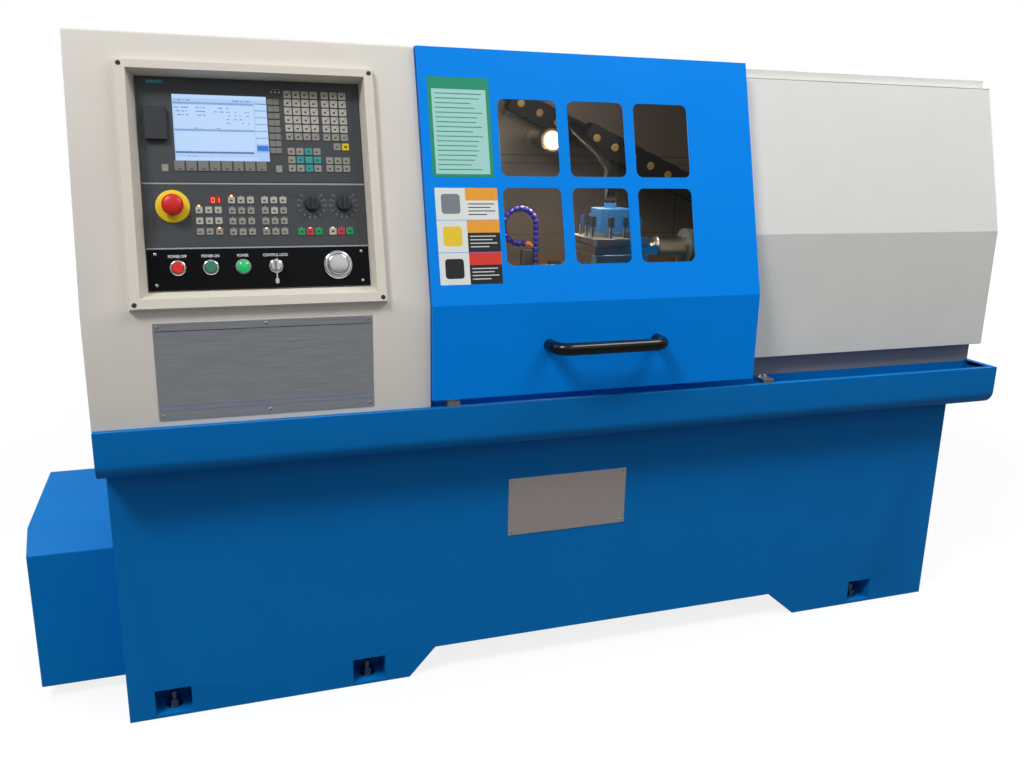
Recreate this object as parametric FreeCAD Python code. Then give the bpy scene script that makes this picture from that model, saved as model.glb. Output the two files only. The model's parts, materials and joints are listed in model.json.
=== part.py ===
import FreeCAD, Part
import math
import os

os.makedirs("parts", exist_ok=True)

V = FreeCAD.Vector

# ---------------------------------------------------------------- clearances
SHEET = 3.0            # folded cover sheet
GLIDE = 0.3            # gap between sliding bodies
FIT = 0.05             # radial running fit of shafts
WAY_GAP = 0.3          # gap over a flat guide way
VEE_LIFT = 0.45        # lift of a vee notch over its vee way

# ---------------------------------------------------------------- overall
BASE_X0 = 11.0
BASE_X1 = 2098.0
BASE_DEPTH = 620.0
BASE_TOP = 573.0
BASE_WALL = 6.0
BASE_ROOF = 10.0
FOOT_PLATE = 7.0
ARCH_FOOT_L = 619.0
ARCH_TOP_L = 681.0
ARCH_TOP_R = 1595.8
ARCH_FOOT_R = 1672.5
ARCH_HEIGHT = 67.6

TRAY_X0 = 0.6
TRAY_X1 = 2173.5
TRAY_FRONT = -76.5
BACK = 645.0           # rear plane of tray, cabinet and guard
TRAY_TOP = 673.0
TRAY_RADIUS = 35.0
RIM = 14.0
GUTTER_WALL = 20.0     # front face of the gutter's inner wall
GUTTER_TOP = 669.0

LEAN = 15.1            # lean of cabinet and door faces, degrees
KNEE = 889.6           # height where the faces start to lean
CABINET_X1 = 655.8
CABINET_FRONT = -66.0
CABINET_TOP = 1403.0
TAN_LEAN = math.tan(math.radians(LEAN))

DOOR_X0 = 657.4
DOOR_X1 = 1430.7
DOOR_FRONT = -77.5
DOOR_BOTTOM = 690.0
DOOR_DEPTH = 25.0
DOOR_SHEET = 2.5

COVER_X0 = 1400.0
COVER_X1 = 2185.9
COVER_FRONT = -1.2
COVER_BOTTOM = 719.0
COVER_KNEE = 1017.6
COVER_DROP = 27.0
COVER_TOP = CABINET_TOP - COVER_DROP
COVER_TOP_Y = 95.5
SKIRT_X1 = 2168.0

DRIVE_X0 = -175.7
DRIVE_Y0 = 147.5
DRIVE_Y1 = 560.0
DRIVE_Z0 = 30.0
DRIVE_Z1 = 390.3

HANDLE_RADIUS = 13.5
HANDLE_Y = -130.0
HANDLE_Z = 797.0
HANDLE_X0 = 915.0
HANDLE_X1 = 1170.0
HANDLE_BEND = 30.0

ELEC_X0 = 100.0
ELEC_X1 = 800.0
ELEC_Z0 = 700.0
ELEC_Z1 = 1300.0
ELEC_BODY = 855.0
ELEC_REAR = 875.0

# ---------------------------------------------------------------- machine
AXIS_Y = 290.0
AXIS_Z = 960.0
BED_X0 = 120.0
BED_X1 = 2060.0
BED_Z0 = 576.0
BED_TOP = 795.0
BED_Y0 = 165.0
BED_Y1 = 415.0
BED_WALL = 30.0
VEE_Y = 187.5
VEE_HALF = 12.5
VEE_X0 = 620.0

HEAD_X0 = 150.0
HEAD_X1 = 600.0
JOURNAL = 55.0
SPINDLE_BORE = 26.0
CHUCK_X0 = 630.0
CHUCK_X1 = 730.0
CHUCK_RADIUS = 100.0
PULLEY_X0 = 62.0
PULLEY_X1 = 112.0
PULLEY_RADIUS = 85.0
MOTOR_Y = 330.0
MOTOR_Z = 215.0
MOTOR_PULLEY_RADIUS = 60.0
MOTOR_SHAFT = 19.0
BELT_THICK = 6.0

Z_SCREW_Y = 128.0
Z_SCREW_Z = 715.0
Z_SCREW_RADIUS = 16.0
SADDLE_X0 = 1030.0
SADDLE_X1 = 1300.0
SADDLE_Y0 = 120.0
SADDLE_Y1 = 460.0
SADDLE_TOP = 845.0
DOVETAIL_TOP = 865.0
SLIDE_TOP = 905.0
X_SCREW_X = 1165.0
X_SCREW_Z = 851.0
X_SCREW_RADIUS = 8.0
TURRET_X = 1169.5
TURRET_Y = 190.0
BLOCK_HALF = 75.0
BLOCK_Z0 = 925.3
BLOCK_Z1 = 1000.0
CAP_Z0 = 1011.0
CAP_Z1 = 1067.0
POST_RADIUS = 30.0

TAIL_X0 = 1430.0
TAIL_X1 = 1610.0
QUILL_RADIUS = 27.0
QUILL_X0 = 1345.0
QUILL_X1 = 1530.0
CENTRE_TIP = 1308.0

# ---------------------------------------------------------------- console
# Console coordinates: u to the right, v up the leaning face from the knee,
# w out of the face.
UNIT_U0 = 119.6
UNIT_U1 = 539.6
UNIT_W = -24.4         # front plane of the console units
UNIT_PLATE = 6.0
PLATE_V0 = 49.6
PLATE_V1 = 127.7
PANEL_V0 = 131.7
PANEL_V1 = 251.7
DISPLAY_V0 = 255.7
DISPLAY_V1 = 455.7
BEZEL_U0 = 84.0
BEZEL_U1 = 567.0
BEZEL_V0 = 9.3
BEZEL_V1 = 477.0
BEZEL_PROUD = 15.0
BUTTON_V = 91.9
STOP_BUTTON_U = 174.0
START_BUTTON_U = 234.0
LAMP_U = 294.0
KEY_U = 356.0
PORT_U = 477.0
ESTOP_U = 172.0
ESTOP_V = 209.5
SPINDLE_KNOB_U = 433.0
FEED_KNOB_U = 496.0
KNOB_V = 214.0
FLAP_U0 = 131.6
FLAP_U1 = 170.6
FLAP_V0 = 335.7
FLAP_V1 = 397.7
FLAP_BARREL = 1.8

# Shift that puts the origin under the middle of the whole machine.
SHIFT = V(-(DRIVE_X0 + COVER_X1) / 2.0, -(HANDLE_Y - HANDLE_RADIUS + ELEC_REAR + 22.0) / 2.0, 0.0)


# ---------------------------------------------------------------- helpers
def box(x0, x1, y0, y1, z0, z1):
    """Block between two corners."""
    return Part.makeBox(x1 - x0, y1 - y0, z1 - z0, V(x0, y0, z0))


def rod(axis, start, end, a, b, radius):
    """Round bar along one axis; a and b are its place on the other two axes."""
    length = end - start
    if axis == "x":
        return Part.makeCylinder(radius, length, V(start, a, b), V(1, 0, 0))
    if axis == "y":
        return Part.makeCylinder(radius, length, V(a, start, b), V(0, 1, 0))
    return Part.makeCylinder(radius, length, V(a, b, start), V(0, 0, 1))


def prism(axis, points, start, end):
    """Polygon of (a, b) pairs on the other two axes, extruded along one axis."""
    if axis == "x":
        corners = [V(start, a, b) for a, b in points]
        way = V(end - start, 0, 0)
    elif axis == "y":
        corners = [V(a, start, b) for a, b in points]
        way = V(0, end - start, 0)
    else:
        corners = [V(a, b, start) for a, b in points]
        way = V(0, 0, end - start)
    wire = Part.makePolygon(corners + [corners[0]])
    return Part.Face(wire).extrude(way)


def turned(axis, profile, a, b):
    """Solid of revolution about one axis from (position, radius) pairs."""
    if axis == "x":
        corners = [V(p, a + r, b) for p, r in profile]
        centre, way = V(0, a, b), V(1, 0, 0)
    elif axis == "y":
        corners = [V(a + r, p, b) for p, r in profile]
        centre, way = V(a, 0, b), V(0, 1, 0)
    else:
        corners = [V(a + r, b, p) for p, r in profile]
        centre, way = V(a, b, 0), V(0, 0, 1)
    wire = Part.makePolygon(corners + [corners[0]])
    return Part.Face(wire).revolve(centre, way, 360)


def regular(sides, radius, phase=0.0):
    """Corners of a regular polygon, flat size radius*2 over the corners."""
    step = 2.0 * math.pi / sides
    return [(radius * math.cos(step * i + phase), radius * math.sin(step * i + phase)) for i in range(sides)]


def fuse(shapes):
    """One body from many."""
    body = shapes[0]
    if len(shapes) > 1:
        body = body.fuse(shapes[1:])
    return body.removeSplitter()


def cut(body, tools):
    """Body with every tool taken away."""
    return body.cut(Part.makeCompound(tools)) if len(tools) == 1 else body.cut(tools)


def group(shapes):
    """Several separate pieces kept as one item."""
    return Part.makeCompound(shapes)


def frustum(lower, upper, w0, w1):
    """Ruled block between two rectangles (u0, u1, v0, v1) at two heights."""
    wires = []
    for (u0, u1, v0, v1), w in ((lower, w0), (upper, w1)):
        corners = [V(u0, v0, w), V(u1, v0, w), V(u1, v1, w), V(u0, v1, w)]
        wires.append(Part.makePolygon(corners + [corners[0]]))
    return Part.makeLoft(wires, True, True)


def rounded_plate(u0, u1, v0, v1, w0, w1, radius):
    """Plate with four rounded corners."""
    plate = box(u0, u1, v0, v1, w0, w1)
    edges = [e for e in plate.Edges if abs(e.tangentAt(e.FirstParameter).z) > 0.99]
    return plate.makeFillet(radius, edges)


def bent_rod(points, radius, bend):
    """Round bar along a path with tangent arcs at its corners."""
    pieces = []
    start = points[0]
    for i in range(1, len(points) - 1):
        corner = points[i]
        back = (points[i - 1] - corner).normalize()
        ahead = (points[i + 1] - corner).normalize()
        half = back.getAngle(ahead) / 2.0
        reach = bend / math.tan(half)
        first = corner + back * reach
        last = corner + ahead * reach
        middle_way = (back + ahead).normalize()
        middle = corner + middle_way * (bend / math.sin(half) - bend)
        pieces.append(Part.LineSegment(start, first).toShape())
        pieces.append(Part.Arc(first, middle, last).toShape())
        start = last
    pieces.append(Part.LineSegment(start, points[-1]).toShape())
    path = Part.Wire(pieces)
    way = (points[1] - points[0]).normalize()
    ring = Part.Wire([Part.makeCircle(radius, points[0], way)])
    return path.makePipeShell([ring], True, True)


def on_face(shape, front=CABINET_FRONT):
    """Shape from console coordinates moved onto the leaning face."""
    copy = shape.copy()
    copy.rotate(V(0, 0, 0), V(1, 0, 0), 90.0 - LEAN)
    copy.translate(V(0, front, KNEE))
    return copy


def save(name, shape):
    """Write one item in the shared frame."""
    copy = shape.copy()
    copy.translate(SHIFT)
    copy.exportStep("parts/" + name + ".step")


def leaning_profile(front, bottom, top, rear, inset=0.0):
    """Side outline (y, z): upright below the knee, leaning above it."""
    slant = inset / math.cos(math.radians(LEAN))
    y0 = front + inset
    knee = KNEE + inset * math.tan(math.radians(LEAN) / 2.0)
    z1 = top - inset
    y_top = front + slant + (z1 - KNEE) * TAN_LEAN
    return [(y0, bottom), (y0, knee), (y_top, z1), (rear - inset, z1), (rear - inset, bottom)]


# ================================================================ base stand
arch_run_l = (ARCH_TOP_L - ARCH_FOOT_L) / ARCH_HEIGHT
arch_run_r = (ARCH_FOOT_R - ARCH_TOP_R) / ARCH_HEIGHT
base_outline = [
    (BASE_X0, 0), (ARCH_FOOT_L, 0), (ARCH_TOP_L, ARCH_HEIGHT), (ARCH_TOP_R, ARCH_HEIGHT),
    (ARCH_FOOT_R, 0), (BASE_X1, 0), (BASE_X1, BASE_TOP), (BASE_X0, BASE_TOP),
]
skin_l = BASE_WALL * math.hypot(1.0, arch_run_l)
skin_r = BASE_WALL * math.hypot(1.0, arch_run_r)
arch_floor = ARCH_HEIGHT + BASE_WALL
hollow_outline = [
    (BASE_X0 + BASE_WALL, FOOT_PLATE),
    (ARCH_FOOT_L + FOOT_PLATE * arch_run_l - skin_l, FOOT_PLATE),
    (ARCH_FOOT_L + arch_floor * arch_run_l - skin_l, arch_floor),
    (ARCH_FOOT_R - arch_floor * arch_run_r + skin_r, arch_floor),
    (ARCH_FOOT_R - FOOT_PLATE * arch_run_r + skin_r, FOOT_PLATE),
    (BASE_X1 - BASE_WALL, FOOT_PLATE),
    (BASE_X1 - BASE_WALL, BASE_TOP - BASE_ROOF),
    (BASE_X0 + BASE_WALL, BASE_TOP - BASE_ROOF),
]
POCKETS = [(64.0, 138.5), (488.0, 562.0), (1849.0, 1920.0)]
POCKET_TOP = 66.0
POCKET_DEPTH = 70.0
POCKET_WALL = 4.0
BOLT_Y = 36.0
BOLT_HOLE = 9.0

stand = prism("y", base_outline, 0, BASE_DEPTH)
stand = cut(stand, [prism("y", hollow_outline, BASE_WALL, BASE_DEPTH - BASE_WALL)])
pocket_boxes = []
pocket_holes = []
bolt_places = []
for x0, x1 in POCKETS:
    middle = (x0 + x1) / 2.0
    pocket_boxes.append(box(x0 - POCKET_WALL, x1 + POCKET_WALL, 0, POCKET_DEPTH + POCKET_WALL,
                            FOOT_PLATE, POCKET_TOP + POCKET_WALL))
    pocket_boxes.append(box(x0 - POCKET_WALL, x1 + POCKET_WALL, BASE_DEPTH - POCKET_DEPTH - POCKET_WALL,
                            BASE_DEPTH, FOOT_PLATE, POCKET_TOP + POCKET_WALL))
    pocket_holes.append(box(x0, x1, -1, POCKET_DEPTH, FOOT_PLATE, POCKET_TOP))
    pocket_holes.append(box(x0, x1, BASE_DEPTH - POCKET_DEPTH, BASE_DEPTH + 1, FOOT_PLATE, POCKET_TOP))
    for y in (BOLT_Y, BASE_DEPTH - BOLT_Y):
        bolt_places.append((middle, y))
        pocket_holes.append(rod("z", -1, FOOT_PLATE + 1, middle, y, BOLT_HOLE))
stand = cut(stand.fuse(pocket_boxes), pocket_holes)
BELT_SLOT = (48.0, 126.0, 215.0, 428.0)
DRAIN_X = 1160.0
DRAIN_Y = 540.0
SERVICE = (760.0, 1560.0, 90.0, 520.0)
stand = cut(stand, [
    box(BELT_SLOT[0], BELT_SLOT[1], BELT_SLOT[2], BELT_SLOT[3], BASE_TOP - BASE_ROOF - 1, BASE_TOP + 1),
    rod("z", BASE_TOP - BASE_ROOF - 1, BASE_TOP + 1, DRAIN_X, DRAIN_Y, 40),
    box(SERVICE[0], SERVICE[1], BASE_DEPTH - BASE_WALL - 1, BASE_DEPTH + 1, SERVICE[2], SERVICE[3]),
    rod("x", BASE_X0 - 1, BASE_X0 + BASE_WALL + 1, MOTOR_Y, MOTOR_Z, 66),
])
save("base_stand", stand)

# Levelling bolts: stud, nut and washer in each pocket.
bolts = []
for x, y in bolt_places:
    bolts.append(fuse([
        rod("z", 0, 42, x, y, 8),
        rod("z", FOOT_PLATE, FOOT_PLATE + 3, x, y, 17),
        prism("z", [(x + a, y + b) for a, b in regular(6, 13.8)], FOOT_PLATE + 3, FOOT_PLATE + 16),
    ]))
save("levelling_bolts", group(bolts))

# ================================================================ chip tray
def tray_side(inset, top):
    """Side outline (y, z) of the tray with its rounded front corner."""
    y0 = TRAY_FRONT + inset
    z0 = BASE_TOP + inset
    radius = TRAY_RADIUS - inset
    points = [(BACK - inset, z0), (BACK - inset, top), (y0, top)]
    for i in range(9):
        angle = math.radians(180.0 + 90.0 * i / 8.0)
        points.append((y0 + radius + radius * math.cos(angle), z0 + radius + radius * math.sin(angle)))
    return points


tray = prism("x", tray_side(0, TRAY_TOP), TRAY_X0, TRAY_X1)
tray = cut(tray, [prism("x", tray_side(SHEET, TRAY_TOP - SHEET), TRAY_X0 + SHEET, TRAY_X1 - SHEET)])
tray = cut(tray, [box(TRAY_X0 + RIM, TRAY_X1 - RIM, TRAY_FRONT + RIM, BACK - RIM, TRAY_TOP - SHEET - 1,
                      TRAY_TOP + 1)])
gutter = fuse([
    box(TRAY_X0 + 1, TRAY_X1 - 1, GUTTER_WALL, GUTTER_WALL + SHEET, BASE_TOP + 1, GUTTER_TOP),
])
tray = tray.fuse([gutter])
window_step = 400.0
gutter_windows = []
for i in range(5):
    x = 300.0 + window_step * i
    gutter_windows.append(box(x, x + 60, GUTTER_WALL - 1, GUTTER_WALL + SHEET + 1, BASE_TOP + SHEET,
                              BASE_TOP + SHEET + 18))
tray = cut(tray, gutter_windows + [
    box(BELT_SLOT[0], BELT_SLOT[1], BELT_SLOT[2], BELT_SLOT[3], BASE_TOP - 1, BASE_TOP + SHEET + 1),
    rod("z", BASE_TOP - 1, BASE_TOP + SHEET + 1, DRAIN_X, DRAIN_Y, 32),
])
save("chip_tray", tray.removeSplitter())

# ================================================================ drive cover
DRIVE_SHEET = 2.5
CHAMFER_Y = 199.5
CHAMFER_Z = 343.7


def drive_side(inset):
    """Side outline (y, z) of the cover over the motor."""
    slope = inset * 0.45
    return [
        (DRIVE_Y0 + inset, DRIVE_Z0 + inset), (DRIVE_Y1 - inset, DRIVE_Z0 + inset),
        (DRIVE_Y1 - inset, DRIVE_Z1 - inset), (CHAMFER_Y + slope, DRIVE_Z1 - inset),
        (DRIVE_Y0 + inset, CHAMFER_Z - slope),
    ]


drive = prism("x", drive_side(0), DRIVE_X0, BASE_X0)
drive = cut(drive, [prism("x", drive_side(DRIVE_SHEET), DRIVE_X0 + DRIVE_SHEET, BASE_X0 + 1)])
save("drive_cover", drive)

# ================================================================ cabinet
BORE_HOLE = 115.0
BAR_HOLE = 34.0
BAR_COLLAR = 48.0
COLLAR_PROUD = 6.0
BED_GATE = (150.0, 430.0, 812.0)
cabinet = prism("x", leaning_profile(CABINET_FRONT, TRAY_TOP, CABINET_TOP, BACK), 0, CABINET_X1)
top_edges = [e for e in cabinet.Edges
             if abs(e.CenterOfMass.z - CABINET_TOP) < 1 and e.CenterOfMass.y < 300
             and e.Length > 300 and abs(e.CenterOfMass.x - CABINET_X1 / 2) < 1]
cabinet = cabinet.makeFillet(6.0, top_edges)
inner = leaning_profile(CABINET_FRONT, TRAY_TOP - 1, CABINET_TOP, BACK, SHEET)
cabinet = cut(cabinet, [prism("x", inner, SHEET, CABINET_X1 - SHEET)])
BEZEL_HOLE = (100.0, 556.0, 25.0, 468.0)
cabinet = cabinet.fuse([rod("x", -COLLAR_PROUD, SHEET, AXIS_Y, AXIS_Z, BAR_COLLAR)])
cabinet = cut(cabinet, [
    rod("x", -COLLAR_PROUD - 1, SHEET + 1, AXIS_Y, AXIS_Z, BAR_HOLE),
    on_face(box(BEZEL_HOLE[0], BEZEL_HOLE[1], BEZEL_HOLE[2], BEZEL_HOLE[3], -8, 8)),
    rod("x", CABINET_X1 - SHEET - 1, CABINET_X1 + 1, AXIS_Y, AXIS_Z, BORE_HOLE),
    box(CABINET_X1 - SHEET - 1, CABINET_X1 + 1, BED_GATE[0], BED_GATE[1], TRAY_TOP - 1, BED_GATE[2]),
])
save("headstock_cabinet", cabinet)

# ================================================================ tail cover
def cover_outline(inset, bottom):
    """Side outline (y, z) of the tail cover."""
    run = (COVER_TOP_Y - COVER_FRONT) / (COVER_TOP - COVER_KNEE)
    slant = inset * math.hypot(1.0, run)
    knee = COVER_KNEE + inset * run / 2.0
    top = COVER_TOP - SHEET - inset
    y_top = COVER_FRONT + slant + (top - COVER_KNEE) * run
    return [(COVER_FRONT + inset, bottom), (COVER_FRONT + inset, knee), (y_top, top),
            (BACK - SHEET, top), (BACK - SHEET, bottom)]


RETURN_LIP = 22.0
cover = prism("x", cover_outline(0, COVER_BOTTOM), COVER_X0, COVER_X1)
cover = cut(cover, [prism("x", cover_outline(SHEET, COVER_BOTTOM - 1), COVER_X0 - 1, COVER_X1 - SHEET)])
front_top = cover_outline(0, COVER_BOTTOM)[2][0]
cover = fuse([
    cover,
    box(COVER_X0, COVER_X1, COVER_FRONT, GUTTER_WALL, COVER_BOTTOM, COVER_BOTTOM + SHEET),
    box(SKIRT_X1, COVER_X1, COVER_FRONT, BACK - SHEET, COVER_BOTTOM, COVER_BOTTOM + SHEET),
])
keep_front = [
    box(COVER_X0 - 1, COVER_X1 - RETURN_LIP, front_top + RETURN_LIP, BACK, COVER_TOP - 2 * SHEET - 1,
        COVER_TOP + 1),
]
cover = cut(cover, keep_front)
save("tail_cover", cover)

# ================================================================ rear guard
RAIL_Y0 = 120.0
RAIL_Y1 = 128.0
RAIL_DROP = 7.0
RAIL_TOP = CABINET_TOP - RAIL_DROP
BRACKET_DROP = 28.0
BRACKET_HIGH = 56.0
BRACKET_X0 = 1036.0
GUARD_X1 = COVER_X1
guard = fuse([
    box(CABINET_X1, GUARD_X1, front_top, BACK, COVER_TOP - SHEET, COVER_TOP),
    box(CABINET_X1, GUARD_X1, BACK - SHEET, BACK, TRAY_TOP, COVER_TOP),
    box(CABINET_X1, COVER_X0 - 1, front_top, front_top + SHEET, COVER_TOP - 24, COVER_TOP),
])
chain_bracket = box(BRACKET_X0, BRACKET_X0 + BRACKET_HIGH, BACK - 24, BACK - 1,
                    COVER_TOP - BRACKET_DROP - BRACKET_HIGH, COVER_TOP - BRACKET_DROP)
rail = box(CABINET_X1, GUARD_X1, RAIL_Y0, RAIL_Y1, COVER_TOP - 1, RAIL_TOP)
save("rear_guard", fuse([guard, rail, chain_bracket]))

# ================================================================ tail skirt
SKIRT_TOP = 745.0
skirt = fuse([
    box(COVER_X0, TRAY_X1 - RIM, GUTTER_WALL, GUTTER_WALL + SHEET, GUTTER_TOP, SKIRT_TOP),
    box(TRAY_X1 - RIM - 1, SKIRT_X1, GUTTER_WALL, GUTTER_WALL + SHEET, TRAY_TOP, SKIRT_TOP),
    box(SKIRT_X1 - SHEET, SKIRT_X1, GUTTER_WALL, BACK - SHEET, TRAY_TOP, SKIRT_TOP),
])
save("tail_skirt", skirt)

# ================================================================ sliding door
WINDOWS_X = [(823.0, 955.0), (980.0, 1112.0), (1136.0, 1269.0)]
WINDOWS_Z = [(966.5, 1124.0), (1147.5, 1304.0)]
WINDOW_RADIUS = 15.0
COS_LEAN = math.cos(math.radians(LEAN))
GLASS_LAP = 9.0
GLASS = 3.0

door_front = leaning_profile(DOOR_FRONT, DOOR_BOTTOM, CABINET_TOP, BACK)
door_top_y = door_front[2][0]
slant_depth = DOOR_DEPTH / COS_LEAN
side = [door_front[0], door_front[1], door_front[2], (door_top_y + slant_depth, CABINET_TOP),
        (DOOR_FRONT + DOOR_DEPTH, KNEE + DOOR_DEPTH * math.tan(math.radians(LEAN) / 2.0)),
        (DOOR_FRONT + DOOR_DEPTH, DOOR_BOTTOM)]
inner_front = leaning_profile(DOOR_FRONT, DOOR_BOTTOM, CABINET_TOP, BACK, DOOR_SHEET)
lower = DOOR_BOTTOM + DOOR_SHEET
pocket_side = [(inner_front[0][0], lower), inner_front[1], inner_front[2],
               (inner_front[2][0] + 60, CABINET_TOP - DOOR_SHEET), (DOOR_FRONT + 90, KNEE),
               (DOOR_FRONT + 60, lower)]
door = prism("x", side, DOOR_X0, DOOR_X1)
door = cut(door, [prism("x", pocket_side, DOOR_X0 + DOOR_SHEET, DOOR_X1 - DOOR_SHEET)])
door_holes = []
panes = []
for x0, x1 in WINDOWS_X:
    for z0, z1 in WINDOWS_Z:
        v0 = (z0 - KNEE) / COS_LEAN
        v1 = (z1 - KNEE) / COS_LEAN
        door_holes.append(on_face(rounded_plate(x0, x1, v0, v1, -8, 8, WINDOW_RADIUS), DOOR_FRONT))
        panes.append(on_face(box(x0 - GLASS_LAP, x1 + GLASS_LAP, v0 - GLASS_LAP, v1 + GLASS_LAP,
                                 -DOOR_SHEET - GLASS, -DOOR_SHEET), DOOR_FRONT))
for x in (HANDLE_X0, HANDLE_X1):
    door_holes.append(rod("y", DOOR_FRONT - 5, DOOR_FRONT + 8, x, HANDLE_Z, 5))
door = cut(door, door_holes)
HOOK_END = RAIL_Y1 + GLIDE
hooks = [box(DOOR_X0, DOOR_X1, door_top_y, HOOK_END + DOOR_SHEET, CABINET_TOP - DOOR_SHEET, CABINET_TOP)]
for x in (DOOR_X0 + 20, DOOR_X1 - 80):
    hooks.append(box(x, x + 60, HOOK_END, HOOK_END + 4, COVER_TOP + 4, CABINET_TOP - 1))
    hooks.append(box(x, x + 60, RAIL_Y0 - GLIDE - 4, RAIL_Y0 - GLIDE, COVER_TOP + 4, CABINET_TOP - 1))
    hooks.append(box(x, x + 60, RAIL_Y0 - GLIDE - 4, HOOK_END + 4, RAIL_TOP + GLIDE, CABINET_TOP - 1))
save("sliding_door", fuse([door] + hooks))
save("door_windows", group(panes))

handle = bent_rod([
    V(HANDLE_X0, DOOR_FRONT, HANDLE_Z), V(HANDLE_X0, HANDLE_Y, HANDLE_Z),
    V(HANDLE_X1, HANDLE_Y, HANDLE_Z), V(HANDLE_X1, DOOR_FRONT, HANDLE_Z),
], HANDLE_RADIUS, HANDLE_BEND)
screws = []
for x in (HANDLE_X0, HANDLE_X1):
    screws.append(rod("y", DOOR_FRONT - 10, DOOR_FRONT + DOOR_SHEET + 1, x, HANDLE_Z, 4.0))
    screws.append(prism("y", [(x + a, HANDLE_Z + b) for a, b in regular(6, 8)],
                        DOOR_FRONT + DOOR_SHEET, DOOR_FRONT + DOOR_SHEET + 6))
save("door_handle", fuse([handle] + screws))

# Guide blocks on the tray's rim below the door.
guides = []
GUIDE_TOP = 684.0
GUIDE_X0 = DOOR_X0 + 32.6
GUIDE_X1 = DOOR_X1 + 34.3
for x0 in (GUIDE_X0, GUIDE_X1):
    block = box(x0, x0 + 28, TRAY_FRONT + 4, -34, TRAY_TOP, GUIDE_TOP)
    foot = [block]
    for x in (x0 + 7, x0 + 21):
        foot.append(prism("z", [(x + a, -45 + b) for a, b in regular(6, 5)], GUIDE_TOP, GUIDE_TOP + 4.5))
    guides.append(fuse(foot))
save("door_guides", group(guides))


# ================================================================ console
FLOOR = 3.0
REAR_W = UNIT_W - UNIT_PLATE
opening_top = (BEZEL_U0 + 21, BEZEL_U1 - 21, BEZEL_V0 + 21, BEZEL_V1 - 18)
opening_low = (UNIT_U0 - 0.6, UNIT_U1 + 0.6, PLATE_V0 - 1.5, DISPLAY_V1 + 1.0)


def widened(rect, by):
    """Rectangle grown on all four sides."""
    return (rect[0] - by, rect[1] + by, rect[2] - by, rect[3] + by)


ring = frustum((BEZEL_U0, BEZEL_U1, BEZEL_V0, BEZEL_V1),
               (BEZEL_U0 + 3, BEZEL_U1 - 3, BEZEL_V0 + 3, BEZEL_V1 - 3), 0, BEZEL_PROUD)
ring = cut(ring, [box(BEZEL_U0 + 5, BEZEL_U1 - 5, BEZEL_V0 + 5, BEZEL_V1 - 5, -1, BEZEL_PROUD - SHEET)])
tub = frustum(widened(opening_low, SHEET), widened(opening_top, SHEET), REAR_W - FLOOR, BEZEL_PROUD - 0.5)
bezel = ring.fuse([tub])
bezel = cut(bezel, [frustum(opening_low, opening_top, REAR_W, BEZEL_PROUD + 0.01)])
back_windows = [
    (132.0, 527.0, 58.0, 118.0),
    (128.0, 531.0, 138.0, 246.0),
    (138.0, 522.0, 266.0, 446.0),
]
for u0, u1, v0, v1 in back_windows:
    bezel = cut(bezel, [box(u0, u1, v0, v1, REAR_W - FLOOR - 1, REAR_W + 1)])
screw_places = []
for u in (BEZEL_U0 + 10.5, BEZEL_U1 - 10.5):
    for v in (BEZEL_V0 + 10.5, BEZEL_V1 - 9.5):
        screw_places.append((u, v))
bezel = cut(bezel, [rod("z", BEZEL_PROUD - SHEET - 1, BEZEL_PROUD + 1, u, v, 2.6) for u, v in screw_places])
save("console_bezel", on_face(bezel))

# Display unit
display = box(UNIT_U0, UNIT_U1, DISPLAY_V0, DISPLAY_V1, REAR_W, UNIT_W)
display = fuse([display, box(140, 520, 268, 444, REAR_W - 60, REAR_W)])
SCREEN = (UNIT_U0 + 63, UNIT_U0 + 238, DISPLAY_V1 - 158, DISPLAY_V1 - 31)
SCREEN_DEEP = 2.0
display = cut(display, [box(SCREEN[0], SCREEN[1], SCREEN[2], SCREEN[3], UNIT_W - SCREEN_DEEP, UNIT_W + 1)])
display = cut(display, [box(FLAP_U0 + 4, FLAP_U1 - 4, FLAP_V0 + 5, FLAP_V1 - 5, UNIT_W - 14, UNIT_W + 1)])
save("display_unit", on_face(display))
save("display_screen", on_face(box(SCREEN[0] + 0.2, SCREEN[1] - 0.2, SCREEN[2] + 0.2, SCREEN[3] - 0.2,
                                   UNIT_W - SCREEN_DEEP, UNIT_W - 0.3)))

flap_h = 10.0
flap_seat = UNIT_W + GLIDE
flap = fuse([
    box(FLAP_U0 + FLAP_BARREL, FLAP_U1, FLAP_V0, FLAP_V1, flap_seat, UNIT_W + flap_h),
    box(FLAP_U0, FLAP_U1, FLAP_V0, FLAP_V1, flap_seat + FLAP_BARREL, UNIT_W + flap_h),
])
flap = cut(flap, [box(FLAP_U0 + 2, FLAP_U1 - 2, FLAP_V0 + 2, FLAP_V1 - 2, UNIT_W, UNIT_W + flap_h - 2)])
flap = flap.fuse([rod("y", FLAP_V0, FLAP_V1, FLAP_U0 + FLAP_BARREL, flap_seat + FLAP_BARREL, FLAP_BARREL)])
save("port_flap", on_face(flap.removeSplitter()))

# Keys
KEY_HIGH = 1.6


def key_block(u0, v_top, columns, rows, pitch_u, pitch_v, size_u, size_v):
    """Rows of keys standing on a unit; u0 and v_top are the outer corner."""
    keys = []
    for row in range(rows):
        for column in range(columns):
            u = u0 + pitch_u * column
            v = v_top - pitch_v * row
            keys.append(box(u, u + size_u, v - size_v, v, UNIT_W, UNIT_W + KEY_HIGH))
    return keys


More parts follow.
